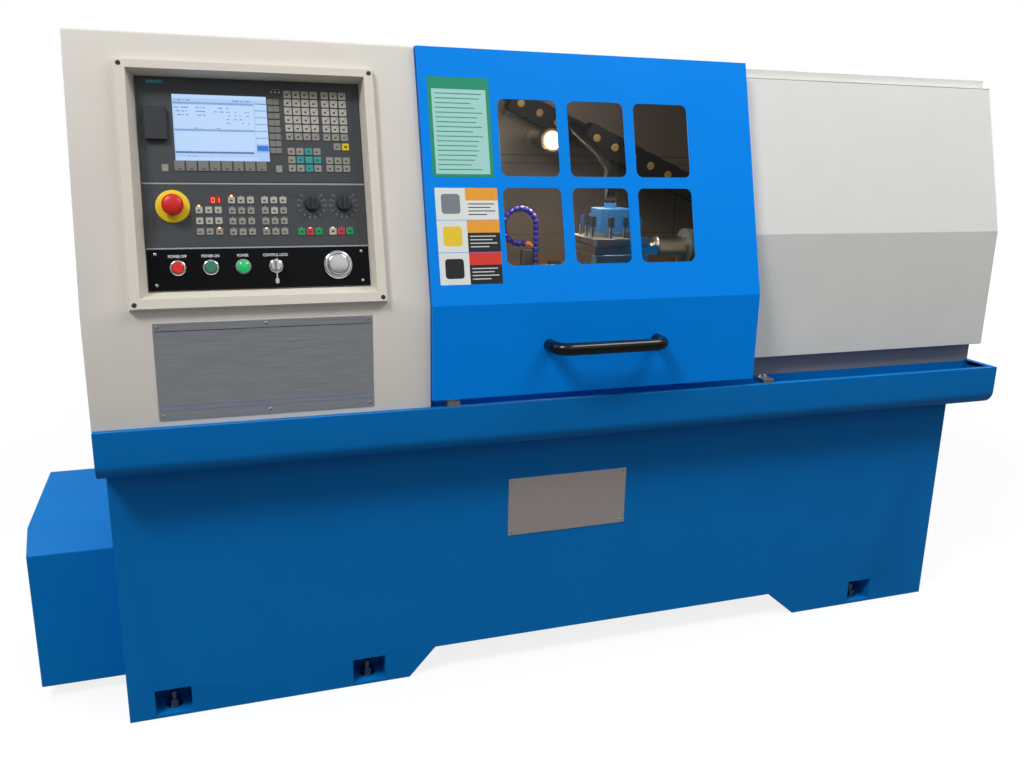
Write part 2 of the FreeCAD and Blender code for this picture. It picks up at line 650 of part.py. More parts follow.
U = UNIT_U0
T = DISPLAY_V1
P = PANEL_V1
keys = []
keys += key_block(U + 68, T - 161, 8, 1, 21.6, 0, 17, 20)
keys += key_block(U + 44, T - 166, 1, 1, 0, 0, 12, 14)
keys += key_block(U + 258, T - 166, 1, 1, 0, 0, 12, 14)
keys += key_block(U + 240, T - 43, 1, 8, 0, 13.4, 22, 11)
keys += key_block(U + 276, T - 28, 4, 6, 16.7, 16.7, 14, 14)
keys += key_block(U + 346, T - 28, 3, 6, 16.7, 16.7, 14, 14)
keys += key_block(U + 369, T - 129, 1, 1, 0, 0, 14, 14)
keys += key_block(U + 385, T - 129, 1, 1, 0, 0, 14, 14)
keys += key_block(U + 281, T - 137, 4, 3, 16.7, 16.7, 14, 14)
keys += key_block(U + 352, T - 155, 3, 2, 16.7, 15.5, 14, 13)
keys += key_block(U + 101, P - 42.6, 3, 3, 18.5, 20.5, 13, 13)
keys += key_block(U + 163, P - 20.8, 3, 4, 18.5, 20.5, 13, 13)
keys += key_block(U + 225, P - 20.8, 3, 4, 18.5, 20.5, 13, 13)
keys += key_block(U + 294.5, P - 85, 3, 1, 17, 0, 13, 13)
keys += key_block(U + 354.5, P - 85, 3, 1, 17, 0, 13, 13)
save("console_keys", on_face(group(keys)))

# Control panel
SHAFT_HOLE = 8.0
SHAFT = 7.7
ESTOP_HOLE = 12.0
ESTOP_SHAFT = 11.7
panel = box(UNIT_U0, UNIT_U1, PANEL_V0, PANEL_V1, REAR_W, UNIT_W)
panel = fuse([panel, box(130, 529, 140, 244, REAR_W - 45, REAR_W)])
panel = cut(panel, [
    rod("z", UNIT_W - 30, UNIT_W + 1, ESTOP_U, ESTOP_V, ESTOP_HOLE),
    rod("z", UNIT_W - 20, UNIT_W + 1, SPINDLE_KNOB_U, KNOB_V, SHAFT_HOLE),
    rod("z", UNIT_W - 20, UNIT_W + 1, FEED_KNOB_U, KNOB_V, SHAFT_HOLE),
])
save("control_panel", on_face(panel))

# Button plate
HOLE = 11.5
BARREL = 11.2
PLATE_BACK = REAR_W
plate = box(UNIT_U0, UNIT_U1, PLATE_V0, PLATE_V1, PLATE_BACK, UNIT_W - 1)
holes = []
for u in (STOP_BUTTON_U, START_BUTTON_U, LAMP_U, KEY_U):
    holes.append(rod("z", PLATE_BACK - 1, UNIT_W, u, BUTTON_V, HOLE))
save("button_plate", on_face(cut(plate, holes)))
plate_front = UNIT_W - 1

# Collars, lamp, emergency disc, polished port cap and the screws.
fittings = []
for u in (STOP_BUTTON_U, START_BUTTON_U):
    collar = turned("z", [(plate_front, 11.6), (plate_front, 15.5), (plate_front + 3, 15.5),
                          (plate_front + 5, 13.5), (plate_front + 5, 11.6)], u, BUTTON_V)
    fittings.append(collar)
fittings.append(turned("z", [(plate_front - 20, 0), (plate_front - 20, 11), (plate_front, 11),
                             (plate_front, 15.5), (plate_front + 3, 15.5), (plate_front + 4, 13),
                             (plate_front + 9, 11), (plate_front + 11, 6), (plate_front + 11, 0)],
                       LAMP_U, BUTTON_V))
fittings.append(turned("z", [(plate_front, 9.6), (plate_front, 14), (plate_front + 4, 14),
                             (plate_front + 5, 12), (plate_front + 5, 9.6)], KEY_U, BUTTON_V))
fittings.append(turned("z", [(plate_front, 0), (plate_front, 29), (plate_front + 4, 29),
                             (plate_front + 6, 25), (plate_front + 6, 21), (plate_front + 12, 20.5),
                             (plate_front + 14, 18), (plate_front + 14, 0)], PORT_U, BUTTON_V))
fittings.append(turned("z", [(UNIT_W, 12.0), (UNIT_W, 32.5), (UNIT_W + 2, 32.5), (UNIT_W + 3, 31),
                             (UNIT_W + 3, 12.0)], ESTOP_U, ESTOP_V))


def screw_head(u, v, w, radius):
    """Low round screw head with a short shank."""
    return turned("z", [(w - 3, 0), (w - 3, 1.5), (w, 1.5), (w, radius), (w + 1.2, radius * 0.8),
                        (w + 1.2, 0)], u, v)


for u, v in screw_places:
    fittings.append(screw_head(u, v, BEZEL_PROUD, 4.6))
for u in (UNIT_U0 + 9, UNIT_U1 - 9):
    for v in (PLATE_V0 + 9, PLATE_V1 - 9):
        fittings.append(turned("z", [(plate_front, 0), (plate_front, 3.2), (plate_front + 1.2, 2.4),
                                     (plate_front + 1.2, 0)], u, v))
save("panel_fittings", on_face(group(fittings)))


def press_button(u):
    """Round button with its barrel behind the plate."""
    return turned("z", [(plate_front - 28, 0), (plate_front - 28, BARREL), (plate_front + 7, BARREL),
                        (plate_front + 9, 9.5), (plate_front + 9, 0)], u, BUTTON_V)


save("stop_button", on_face(press_button(STOP_BUTTON_U)))
save("start_button", on_face(press_button(START_BUTTON_U)))

KEY_BOW = 11.0
lock = fuse([
    rod("z", plate_front - 22, plate_front + 6, KEY_U, BUTTON_V, 9.2),
    box(KEY_U - 1.2, KEY_U + 1.2, BUTTON_V - 4, BUTTON_V + 4, plate_front + 6, plate_front + 14),
    box(KEY_U - 1.2, KEY_U + 1.2, BUTTON_V - KEY_BOW, BUTTON_V + KEY_BOW, plate_front + 14,
        plate_front + 34),
])
lock = cut(lock, [rod("x", KEY_U - 3, KEY_U + 3, BUTTON_V, plate_front + 29, 2.6)])
save("key_switch", on_face(lock))

estop = turned("z", [(UNIT_W - 16, 0), (UNIT_W - 16, ESTOP_SHAFT), (UNIT_W + 10, ESTOP_SHAFT),
                     (UNIT_W + 12, 17), (UNIT_W + 15, 20), (UNIT_W + 22, 20), (UNIT_W + 27, 16),
                     (UNIT_W + 29, 9), (UNIT_W + 29.5, 0)], ESTOP_U, ESTOP_V)
save("e_stop", on_face(estop))


def knob(u):
    """Round knob with a raised pointer bar."""
    body = turned("z", [(UNIT_W - 16, 0), (UNIT_W - 16, SHAFT), (UNIT_W + GLIDE, SHAFT),
                        (UNIT_W + GLIDE, 15), (UNIT_W + 3, 15), (UNIT_W + 11, 13.4), (UNIT_W + 11, 0)],
                  u, KNOB_V)
    bar = box(u - 2.6, u + 2.6, KNOB_V - 12.5, KNOB_V + 12.5, UNIT_W + 10, UNIT_W + 17)
    return fuse([body, bar])


save("spindle_knob", on_face(knob(SPINDLE_KNOB_U)))
save("feed_knob", on_face(knob(FEED_KNOB_U)))

# Bare plates on cabinet and base, with their screws.
PLATE_THICK = 1.5
CAB_PLATE = (121.5, 535.5, 686.0, 876.0)
BASE_PLATE = (855.0, 1152.0, 328.0, 468.0)
plates = []
for (x0, x1, z0, z1), y, extra in ((CAB_PLATE, CABINET_FRONT, True), (BASE_PLATE, 0.0, False)):
    piece = [box(x0, x1, y - PLATE_THICK, y, z0, z1)]
    heads = [(x0 + 8, z0 + 8), (x1 - 8, z0 + 8), (x0 + 8, z1 - 8), (x1 - 8, z1 - 8)]
    if extra:
        heads += [((x0 + x1) / 2.0, z0 + 8), ((x0 + x1) / 2.0, z1 - 8)]
    for x, z in heads:
        piece.append(rod("y", y - PLATE_THICK - 1.3, y - PLATE_THICK + 0.5, x, z, 3.4))
    plates.append(fuse(piece))
save("bare_plates", group(plates))

# ================================================================ electrical cabinet
ELEC_LIP = 24.0
elec = box(ELEC_X0, ELEC_X1, BACK, ELEC_BODY, ELEC_Z0, ELEC_Z1)
elec = cut(elec, [
    box(ELEC_X0 + SHEET, ELEC_X1 - SHEET, BACK + SHEET, ELEC_BODY - SHEET, ELEC_Z0 + SHEET, ELEC_Z1 - SHEET),
    box(ELEC_X0 + ELEC_LIP, ELEC_X1 - ELEC_LIP, ELEC_BODY - SHEET - 1, ELEC_BODY + 1, ELEC_Z0 + ELEC_LIP,
        ELEC_Z1 - ELEC_LIP),
])
mounting_plate = box(ELEC_X0 + 40, ELEC_X1 - 40, BACK + SHEET, BACK + SHEET + 12, ELEC_Z0 + 40, ELEC_Z1 - 40)
modules = [mounting_plate]
for i in range(6):
    x = ELEC_X0 + 90 + 90 * i
    modules.append(box(x, x + 62, BACK + SHEET + 12, BACK + SHEET + 92, ELEC_Z0 + 330, ELEC_Z0 + 510))
modules.append(box(ELEC_X0 + 70, ELEC_X1 - 70, BACK + SHEET + 12, BACK + SHEET + 62, ELEC_Z0 + 230,
                   ELEC_Z0 + 280))
modules.append(box(ELEC_X0 + 110, ELEC_X0 + 260, BACK + SHEET + 12, BACK + SHEET + 112, ELEC_Z0 + 70,
                   ELEC_Z0 + 180))
elec = fuse([elec] + modules)
save("electrical_cabinet", elec)

HINGE_X = ELEC_X0 - 6.0
HINGE_Y = ELEC_BODY + 8.0
leaf = box(ELEC_X0 - 2, ELEC_X1 + 2, ELEC_BODY + GLIDE, ELEC_REAR, ELEC_Z0 - 2, ELEC_Z1 + 2)
leaf = cut(leaf, [box(ELEC_X0 + 1, ELEC_X1 - 1, ELEC_BODY, ELEC_REAR - 2.5, ELEC_Z0 + 1, ELEC_Z1 - 1)])
SWITCH_X = 640.0
SWITCH_Z = 1130.0
SWITCH_SHAFT = 7.0
knuckles = []
for z in (ELEC_Z0 + 60, ELEC_Z1 - 120):
    knuckles.append(rod("z", z, z + 60, HINGE_X, HINGE_Y, 5.5))
    knuckles.append(box(HINGE_X, ELEC_X0 + 1, HINGE_Y, HINGE_Y + 4, z, z + 60))
leaf = fuse([leaf] + knuckles)
leaf = cut(leaf, [rod("y", ELEC_REAR - 5, ELEC_REAR + 1, SWITCH_X, SWITCH_Z, SWITCH_SHAFT + GLIDE)])
save("electrical_door", leaf)
switch = fuse([
    rod("y", ELEC_REAR - 14, ELEC_REAR + 6, SWITCH_X, SWITCH_Z, SWITCH_SHAFT),
    rod("y", ELEC_REAR + GLIDE, ELEC_REAR + 8, SWITCH_X, SWITCH_Z, 26),
    box(SWITCH_X - 7, SWITCH_X + 7, ELEC_REAR + 7, ELEC_REAR + 22, SWITCH_Z - 27, SWITCH_Z + 27),
])
save("main_switch", switch)


# ================================================================ bed
def way_rail(y0, y1, vee):
    """Outline (y, z) of one top rail, with a vee ridge where asked."""
    top = [(y1, BED_TOP)]
    if vee:
        top += [(VEE_Y + VEE_HALF, BED_TOP), (VEE_Y, BED_TOP + VEE_HALF), (VEE_Y - VEE_HALF, BED_TOP)]
    return [(y0, BED_TOP), (y0, BED_TOP - 30), (y0 + 6, BED_TOP - 42), (y1 - 6, BED_TOP - 42),
            (y1, BED_TOP - 30)] + top


bed_parts = []
for y0 in (BED_Y0, BED_Y1 - BED_WALL):
    bed_parts.append(box(BED_X0, BED_X1, y0, y0 + BED_WALL, BED_Z0, BED_TOP - 30))
bed_parts.append(prism("x", way_rail(160, 215, True), VEE_X0, BED_X1))
bed_parts.append(prism("x", way_rail(160, 215, False), BED_X0, VEE_X0))
bed_parts.append(prism("x", way_rail(365, 420, False), BED_X0, BED_X1))
RIB_PITCH = 242.0
for i in range(9):
    x = BED_X0 + RIB_PITCH * i
    if x + 18 <= BED_X1:
        bed_parts.append(box(x, x + 18, BED_Y0, BED_Y1, BED_Z0, BED_TOP - 40))
bed_parts.append(box(BED_X1 - 18, BED_X1, BED_Y0, BED_Y1, BED_Z0, BED_TOP - 40))
bed_parts.append(box(BED_X0, BED_X0 + 470, BED_Y0 - 12, BED_Y1 + 12, BED_Z0, BED_Z0 + 26))
bed_parts.append(box(BED_X1 - 360, BED_X1, BED_Y0 - 12, BED_Y1 + 12, BED_Z0, BED_Z0 + 26))
bed = fuse(bed_parts)
chip_holes = []
for i in range(2, 7):
    x = BED_X0 + RIB_PITCH * i + 50
    if x + 150 < BED_X1 - 360:
        chip_holes.append(prism("y", [(x, BED_Z0 + 30), (x + 150, BED_Z0 + 30), (x + 150, BED_Z0 + 110),
                                      (x + 110, BED_Z0 + 150), (x + 40, BED_Z0 + 150), (x, BED_Z0 + 110)],
                                BED_Y1 - BED_WALL - 1, BED_Y1 + 1))
save("lathe_bed", cut(bed, chip_holes))

# ================================================================ headstock
HEAD_WALL = 40.0
head = prism("x", [(BED_Y0, BED_TOP), (BED_Y1, BED_TOP), (BED_Y1, AXIS_Z + 40), (AXIS_Y + 70, AXIS_Z + 112),
                   (AXIS_Y - 70, AXIS_Z + 112), (BED_Y0, AXIS_Z + 40)], HEAD_X0, HEAD_X1)
head = cut(head, [
    prism("x", [(BED_Y0 + 20, BED_TOP + 22), (BED_Y1 - 20, BED_TOP + 22), (BED_Y1 - 20, AXIS_Z + 30),
                (AXIS_Y + 60, AXIS_Z + 94), (AXIS_Y - 60, AXIS_Z + 94), (BED_Y0 + 20, AXIS_Z + 30)],
          HEAD_X0 + HEAD_WALL, HEAD_X1 - HEAD_WALL),
    rod("x", HEAD_X0 - 1, HEAD_X1 + 1, AXIS_Y, AXIS_Z, JOURNAL + FIT),
])
head = fuse([head])
cover_ring = cut(rod("x", HEAD_X1, HEAD_X1 + 8, AXIS_Y, AXIS_Z, 78),
                 [rod("x", HEAD_X1 - 1, HEAD_X1 + 9, AXIS_Y, AXIS_Z, JOURNAL + GLIDE)])
rear_ring = cut(rod("x", HEAD_X0 - 8, HEAD_X0, AXIS_Y, AXIS_Z, 78),
                [rod("x", HEAD_X0 - 9, HEAD_X0 + 1, AXIS_Y, AXIS_Z, JOURNAL + GLIDE)])
save("headstock", fuse([head, cover_ring, rear_ring]))

pulley_profile = [(PULLEY_X0, SPINDLE_BORE), (PULLEY_X0, PULLEY_RADIUS + 8), (PULLEY_X0 + 4, PULLEY_RADIUS + 8),
                  (PULLEY_X0 + 5, PULLEY_RADIUS), (PULLEY_X1 - 5, PULLEY_RADIUS),
                  (PULLEY_X1 - 4, PULLEY_RADIUS + 8), (PULLEY_X1, PULLEY_RADIUS + 8)]
spindle = turned("x", pulley_profile + [
    (PULLEY_X1, 42), (HEAD_X0 - 10, 42), (HEAD_X0 - 10, JOURNAL), (HEAD_X0 + HEAD_WALL + 4, JOURNAL),
    (HEAD_X0 + HEAD_WALL + 4, 49), (HEAD_X1 - HEAD_WALL - 4, 49), (HEAD_X1 - HEAD_WALL - 4, JOURNAL),
    (HEAD_X1 + 9, JOURNAL), (HEAD_X1 + 9, 84), (CHUCK_X0, 84), (CHUCK_X0, SPINDLE_BORE),
], AXIS_Y, AXIS_Z)
save("spindle", spindle)

# Chuck with three jaw slots.
SLOT_HALF = 8.0
TEE_HALF = 13.0
TEE_X0 = CHUCK_X1 - 26.0
TEE_X1 = CHUCK_X1 - 14.0
chuck_bore = SPINDLE_BORE + 1.5
chuck = turned("x", [(CHUCK_X0, chuck_bore), (CHUCK_X0, CHUCK_RADIUS - 3), (CHUCK_X0 + 3, CHUCK_RADIUS),
                     (CHUCK_X1 - 4, CHUCK_RADIUS), (CHUCK_X1, CHUCK_RADIUS - 4), (CHUCK_X1, chuck_bore)],
               AXIS_Y, AXIS_Z)
JAW_IN = 30.0
JAW_OUT = 80.0
JAW_ANGLES = [90.0, 210.0, 330.0]


def about_axis(shape, angle):
    """Copy turned about the spindle axis; 0 points along +Y, 90 along +Z."""
    copy = shape.copy()
    copy.rotate(V(0, AXIS_Y, AXIS_Z), V(1, 0, 0), angle)
    return copy


slot = [
    box(TEE_X1 - 1, CHUCK_X1 + 1, AXIS_Y, AXIS_Y + CHUCK_RADIUS + 5, AXIS_Z - SLOT_HALF, AXIS_Z + SLOT_HALF),
    box(TEE_X0, TEE_X1, AXIS_Y, AXIS_Y + CHUCK_RADIUS + 5, AXIS_Z - TEE_HALF, AXIS_Z + TEE_HALF),
]
key_hole = rod("y", AXIS_Y + 78, AXIS_Y + CHUCK_RADIUS + 5, CHUCK_X0 + 35, AXIS_Z, 7)
chuck_tools = []
for angle in JAW_ANGLES:
    chuck_tools += [about_axis(s, angle) for s in slot]
    chuck_tools.append(about_axis(key_hole, angle + 60))
save("chuck_body", cut(chuck, chuck_tools))

tip = JAW_IN
jaw_web = prism("z", [
    (TEE_X0 + 4, AXIS_Y + tip), (CHUCK_X1 + 32, AXIS_Y + tip), (CHUCK_X1 + 32, AXIS_Y + tip + 14),
    (CHUCK_X1 + 22, AXIS_Y + tip + 14), (CHUCK_X1 + 22, AXIS_Y + tip + 30), (CHUCK_X1 + 12, AXIS_Y + tip + 30),
    (CHUCK_X1 + 12, AXIS_Y + JAW_OUT), (TEE_X0 + 4, AXIS_Y + JAW_OUT),
], AXIS_Z - SLOT_HALF + GLIDE, AXIS_Z + SLOT_HALF - GLIDE)
jaw_foot = box(TEE_X0 + GLIDE, TEE_X1 - GLIDE, AXIS_Y + tip + 2, AXIS_Y + JAW_OUT, AXIS_Z - TEE_HALF + GLIDE,
               AXIS_Z + TEE_HALF - GLIDE)
jaw = fuse([jaw_web, jaw_foot])
for i, angle in enumerate(JAW_ANGLES):
    save("chuck_jaw_" + str(i + 1), about_axis(jaw, angle))

# ================================================================ main drive
MOTOR_X0 = -150.0
MOTOR_BODY = 82.0
FLANGE_HALF = 92.0
motor_parts = [
    rod("x", MOTOR_X0, BASE_X0 - 12, MOTOR_Y, MOTOR_Z, MOTOR_BODY),
    box(BASE_X0 - 12, BASE_X0, MOTOR_Y - FLANGE_HALF, MOTOR_Y + FLANGE_HALF, MOTOR_Z - FLANGE_HALF,
        MOTOR_Z + FLANGE_HALF),
    rod("x", BASE_X0, BASE_X0 + BASE_WALL, MOTOR_Y, MOTOR_Z, 65),
    box(-110, -30, MOTOR_Y - 45, MOTOR_Y + 45, MOTOR_Z + 70, MOTOR_Z + 118),
]
FINS = 20
for i in range(FINS):
    angle = 360.0 * i / FINS
    if abs(angle - 90.0) > 25:
        fin = box(MOTOR_X0 + 20, -20, MOTOR_Y + MOTOR_BODY - 3, MOTOR_Y + MOTOR_BODY + 9, MOTOR_Z - 1.6,
                  MOTOR_Z + 1.6)
        fin.rotate(V(0, MOTOR_Y, MOTOR_Z), V(1, 0, 0), angle)
        motor_parts.append(fin)
motor = fuse(motor_parts)
motor = cut(motor, [rod("x", -80, BASE_X0 + BASE_WALL + 1, MOTOR_Y, MOTOR_Z, MOTOR_SHAFT + FIT)])
save("spindle_motor", motor)

rotor = turned("x", [
    (-79, 0), (-79, MOTOR_SHAFT), (PULLEY_X0 - 4, MOTOR_SHAFT), (PULLEY_X0 - 4, 34), (PULLEY_X0, 34),
    (PULLEY_X0, MOTOR_PULLEY_RADIUS + 8), (PULLEY_X0 + 4, MOTOR_PULLEY_RADIUS + 8),
    (PULLEY_X0 + 5, MOTOR_PULLEY_RADIUS), (PULLEY_X1 - 5, MOTOR_PULLEY_RADIUS),
    (PULLEY_X1 - 4, MOTOR_PULLEY_RADIUS + 8), (PULLEY_X1, MOTOR_PULLEY_RADIUS + 8), (PULLEY_X1, 30),
    (PULLEY_X1 + 6, 26), (PULLEY_X1 + 6, 0),
], MOTOR_Y, MOTOR_Z)
save("motor_pulley", rotor)


def belt_outline(grow):
    """Closed outline (wire) of a loop round both pulleys, grown by a distance."""
    r1 = MOTOR_PULLEY_RADIUS + grow
    r2 = PULLEY_RADIUS + grow
    dy = AXIS_Y - MOTOR_Y
    dz = AXIS_Z - MOTOR_Z
    far = math.hypot(dy, dz)
    heading = math.atan2(dz, dy)
    spread = math.acos((r1 - r2) / far)
    a1 = heading + spread
    a2 = heading - spread
    x = PULLEY_X0 + 6.0

    def at(y, z, r, a):
        return V(x, y + r * math.cos(a), z + r * math.sin(a))

    low_left = at(MOTOR_Y, MOTOR_Z, r1, a1)
    low_right = at(MOTOR_Y, MOTOR_Z, r1, a2)
    up_left = at(AXIS_Y, AXIS_Z, r2, a1)
    up_right = at(AXIS_Y, AXIS_Z, r2, a2)
    low = Part.Arc(low_left, at(MOTOR_Y, MOTOR_Z, r1, heading + math.pi), low_right).toShape()
    high = Part.Arc(up_right, at(AXIS_Y, AXIS_Z, r2, heading), up_left).toShape()
    return Part.Wire([low, Part.LineSegment(low_right, up_right).toShape(), high,
                      Part.LineSegment(up_left, low_left).toShape()])


BELT_WIDTH = PULLEY_X1 - PULLEY_X0 - 12.0
belt = Part.Face(belt_outline(GLIDE + BELT_THICK)).extrude(V(BELT_WIDTH, 0, 0))
belt = belt.cut(Part.Face(belt_outline(GLIDE)).extrude(V(BELT_WIDTH, 0, 0)))
save("drive_belt", belt)

# ================================================================ carriage drive
SCREW_X0 = 660.0
BRACKET = 28.0
Z_SERVO_X0 = 2032.0
z_mounts = []
for x in (SCREW_X0, Z_SERVO_X0 - BRACKET):
    bracket = box(x, x + BRACKET, 92, BED_Y0, Z_SCREW_Z - 34, Z_SCREW_Z + 34)
    z_mounts.append(cut(bracket, [rod("x", x - 1, x + BRACKET + 1, Z_SCREW_Y, Z_SCREW_Z, 12 + FIT)]))
servo = fuse([
    box(Z_SERVO_X0, Z_SERVO_X0 + 30, 92, 164, Z_SCREW_Z - 36, Z_SCREW_Z + 36),
    box(Z_SERVO_X0 + 30, Z_SERVO_X0 + 118, 96, 160, Z_SCREW_Z - 32, Z_SCREW_Z + 32),
    box(Z_SERVO_X0 + 70, Z_SERVO_X0 + 100, 112, 144, Z_SCREW_Z + 32, Z_SCREW_Z + 48),
])
servo = cut(servo, [rod("x", Z_SERVO_X0 - 1, Z_SERVO_X0 + 22, Z_SCREW_Y, Z_SCREW_Z, 14)])
z_mounts.append(servo)
save("z_drive", group(z_mounts))
z_screw = turned("x", [
    (SCREW_X0 + 2, 0), (SCREW_X0 + 2, 12), (SCREW_X0 + BRACKET + 2, 12),
    (SCREW_X0 + BRACKET + 2, Z_SCREW_RADIUS), (Z_SERVO_X0 - BRACKET - 2, Z_SCREW_RADIUS),
    (Z_SERVO_X0 - BRACKET - 2, 12), (Z_SERVO_X0 + 18, 12), (Z_SERVO_X0 + 18, 0),
], Z_SCREW_Y, Z_SCREW_Z)
save("z_screw", z_screw)

# ================================================================ saddle
DOVE_X0 = 1115.0
DOVE_X1 = 1215.0
DOVE_IN = 10.0
APRON_IN = 50.0
APRON_Z0 = Z_SCREW_Z - 33.0
seat = BED_TOP + WAY_GAP
saddle = fuse([
    box(SADDLE_X0, SADDLE_X1, SADDLE_Y0, SADDLE_Y1, seat, SADDLE_TOP),
    box(SADDLE_X0 + APRON_IN, SADDLE_X1 - APRON_IN, SADDLE_Y0 - 24, BED_Y0 - 5.5, APRON_Z0, SADDLE_TOP),
    prism("y", [(DOVE_X0 + DOVE_IN, SADDLE_TOP - 1), (DOVE_X1 - DOVE_IN, SADDLE_TOP - 1),
                (DOVE_X1 - DOVE_IN, SADDLE_TOP), (DOVE_X1, DOVETAIL_TOP), (DOVE_X0, DOVETAIL_TOP),
                (DOVE_X0 + DOVE_IN, SADDLE_TOP)], SADDLE_Y0, SADDLE_Y1),
])
notch = prism("x", [(VEE_Y - VEE_HALF - 1, seat - 1), (VEE_Y - VEE_HALF - 1, seat),
                    (VEE_Y - VEE_HALF + 0.15, seat), (VEE_Y, BED_TOP + VEE_HALF + VEE_LIFT),
                    (VEE_Y + VEE_HALF - 0.15, seat), (VEE_Y + VEE_HALF + 1, seat),
                    (VEE_Y + VEE_HALF + 1, seat - 1)], SADDLE_X0 - 1, SADDLE_X1 + 1)
POST_X = 1278.0
WING = 46.0
saddle = cut(saddle, [
    notch,
    box(SADDLE_X0 - 1, SADDLE_X0 + WING, 225, 360, seat - 1, SADDLE_TOP + 1),
    box(SADDLE_X1 - WING, SADDLE_X1 + 1, 225, 360, seat - 1, SADDLE_TOP + 1),
    rod("x", SADDLE_X0 + WING + 3, SADDLE_X1 - WING - 3, Z_SCREW_Y, Z_SCREW_Z, Z_SCREW_RADIUS + FIT),
    box(X_SCREW_X - 14, X_SCREW_X + 14, SADDLE_Y0 + 30, SADDLE_Y1 - 30, SADDLE_TOP - 12, DOVETAIL_TOP + 1),
    rod("y", SADDLE_Y0 - 1, SADDLE_Y1 + 1, X_SCREW_X, X_SCREW_Z, X_SCREW_RADIUS + FIT),
])
CHAIN_NEAR_Y = 450.0
CHAIN_HALF = 17.0
PIN_DROP = 169.0
PIN_X = 1231.0
PIN_Z = CABINET_TOP - PIN_DROP
ELBOW_Z = PIN_Z - 104.0
arm_y = CHAIN_NEAR_Y + CHAIN_HALF + 4.2
saddle = fuse([
    saddle,
    box(POST_X, POST_X + 12, arm_y - 20, arm_y - 2, SADDLE_TOP - 2, ELBOW_Z),
    box(POST_X, POST_X + 12, arm_y - 20, arm_y + 12, ELBOW_Z - 10, ELBOW_Z),
    box(POST_X, POST_X + 12, arm_y, arm_y + 12, ELBOW_Z - 10, PIN_Z + 2),
    box(PIN_X - 25, POST_X + 12, arm_y, arm_y + 12, PIN_Z - 16, PIN_Z + 2),
])
save("saddle", saddle)

# ================================================================ cross slide
CROSS_X0 = 1090.0
CROSS_X1 = 1240.0
CROSS_Y0 = 112.0
CROSS_Y1 = 396.0
cross = box(CROSS_X0, CROSS_X1, CROSS_Y0, CROSS_Y1, SADDLE_TOP + GLIDE, SLIDE_TOP)
female = prism("y", [
    (DOVE_X0 + DOVE_IN - 0.4, SADDLE_TOP - 1), (DOVE_X1 - DOVE_IN + 0.4, SADDLE_TOP - 1),
    (DOVE_X1 - DOVE_IN + 0.4, SADDLE_TOP), (DOVE_X1 + 0.4, DOVETAIL_TOP + GLIDE),
    (DOVE_X0 - 0.4, DOVETAIL_TOP + GLIDE), (DOVE_X0 + DOVE_IN - 0.4, SADDLE_TOP),
], CROSS_Y0 - 1, CROSS_Y1 + 1)
cross = cut(cross, [female])
x_nut = box(X_SCREW_X - 12, X_SCREW_X + 12, 245, 285, SADDLE_TOP - 8, DOVETAIL_TOP + 2)
cross = fuse([cross, x_nut])
cross = cut(cross, [rod("y", 244, 286, X_SCREW_X, X_SCREW_Z, X_SCREW_RADIUS + FIT)])
for x in (CROSS_X0 + 22, CROSS_X1 - 34):
    cross = cut(cross, [box(x, x + 12, CROSS_Y0 - 1, CROSS_Y1 + 1, SLIDE_TOP - 8, SLIDE_TOP + 1)])
save("cross_slide", cross)

X_SERVO_Y = SADDLE_Y1
x_screw = turned("y", [(SADDLE_Y0 + 4, 0), (SADDLE_Y0 + 4, X_SCREW_RADIUS), (X_SERVO_Y + 20, X_SCREW_RADIUS),
                       (X_SERVO_Y + 20, 0)], X_SCREW_X, X_SCREW_Z)
save("x_screw", x_screw)
x_servo = fuse([
    box(X_SCREW_X - 36, X_SCREW_X + 36, X_SERVO_Y, X_SERVO_Y + 26, X_SCREW_Z - 36, X_SCREW_Z + 36),
    box(X_SCREW_X - 32, X_SCREW_X + 32, X_SERVO_Y + 26, X_SERVO_Y + 118, X_SCREW_Z - 32, X_SCREW_Z + 32),
    box(X_SCREW_X - 14, X_SCREW_X + 14, X_SERVO_Y + 74, X_SERVO_Y + 102, X_SCREW_Z + 32, X_SCREW_Z + 46),
])
x_servo = cut(x_servo, [rod("y", X_SERVO_Y - 1, X_SERVO_Y + 22, X_SCREW_X, X_SCREW_Z, X_SCREW_RADIUS + FIT)])
save("x_servo", x_servo)

# ================================================================ turret
turret_base = fuse([
    box(TURRET_X - 72, TURRET_X + 72, TURRET_Y - 72, TURRET_Y + 72, SLIDE_TOP, BLOCK_Z0 - GLIDE),
    rod("z", BLOCK_Z0 - GLIDE - 1, CAP_Z0, TURRET_X, TURRET_Y, POST_RADIUS),
])
save("turret_base", turret_base)

TOOL_SLOT_Z = 962.0
TOOL_SLOT = 22.0
SLOT_DEEP = 24.0
block = box(TURRET_X - BLOCK_HALF, TURRET_X + BLOCK_HALF, TURRET_Y - BLOCK_HALF, TURRET_Y + BLOCK_HALF,
            BLOCK_Z0, BLOCK_Z1)
block = fuse([block, rod("z", BLOCK_Z1, CAP_Z0 - GLIDE, TURRET_X, TURRET_Y, 40)])
corner_edges = [e for e in block.Edges
                if abs(e.tangentAt(e.FirstParameter).z) > 0.99 and abs(e.Length - (BLOCK_Z1 - BLOCK_Z0)) < 1
                and abs(abs(e.CenterOfMass.x - TURRET_X) - BLOCK_HALF) < 0.1]
block = block.makeChamfer(8.0, corner_edges)
slot_a = box(TURRET_X - BLOCK_HALF - 10, TURRET_X - BLOCK_HALF + SLOT_DEEP, TURRET_Y - BLOCK_HALF - 1,
             TURRET_Y + BLOCK_HALF + 1, TOOL_SLOT_Z, TOOL_SLOT_Z + TOOL_SLOT)
block_tools = []
for i in range(4):
    s = slot_a.copy()
    s.rotate(V(TURRET_X, TURRET_Y, 0), V(0, 0, 1), 90.0 * i)
    block_tools.append(s)
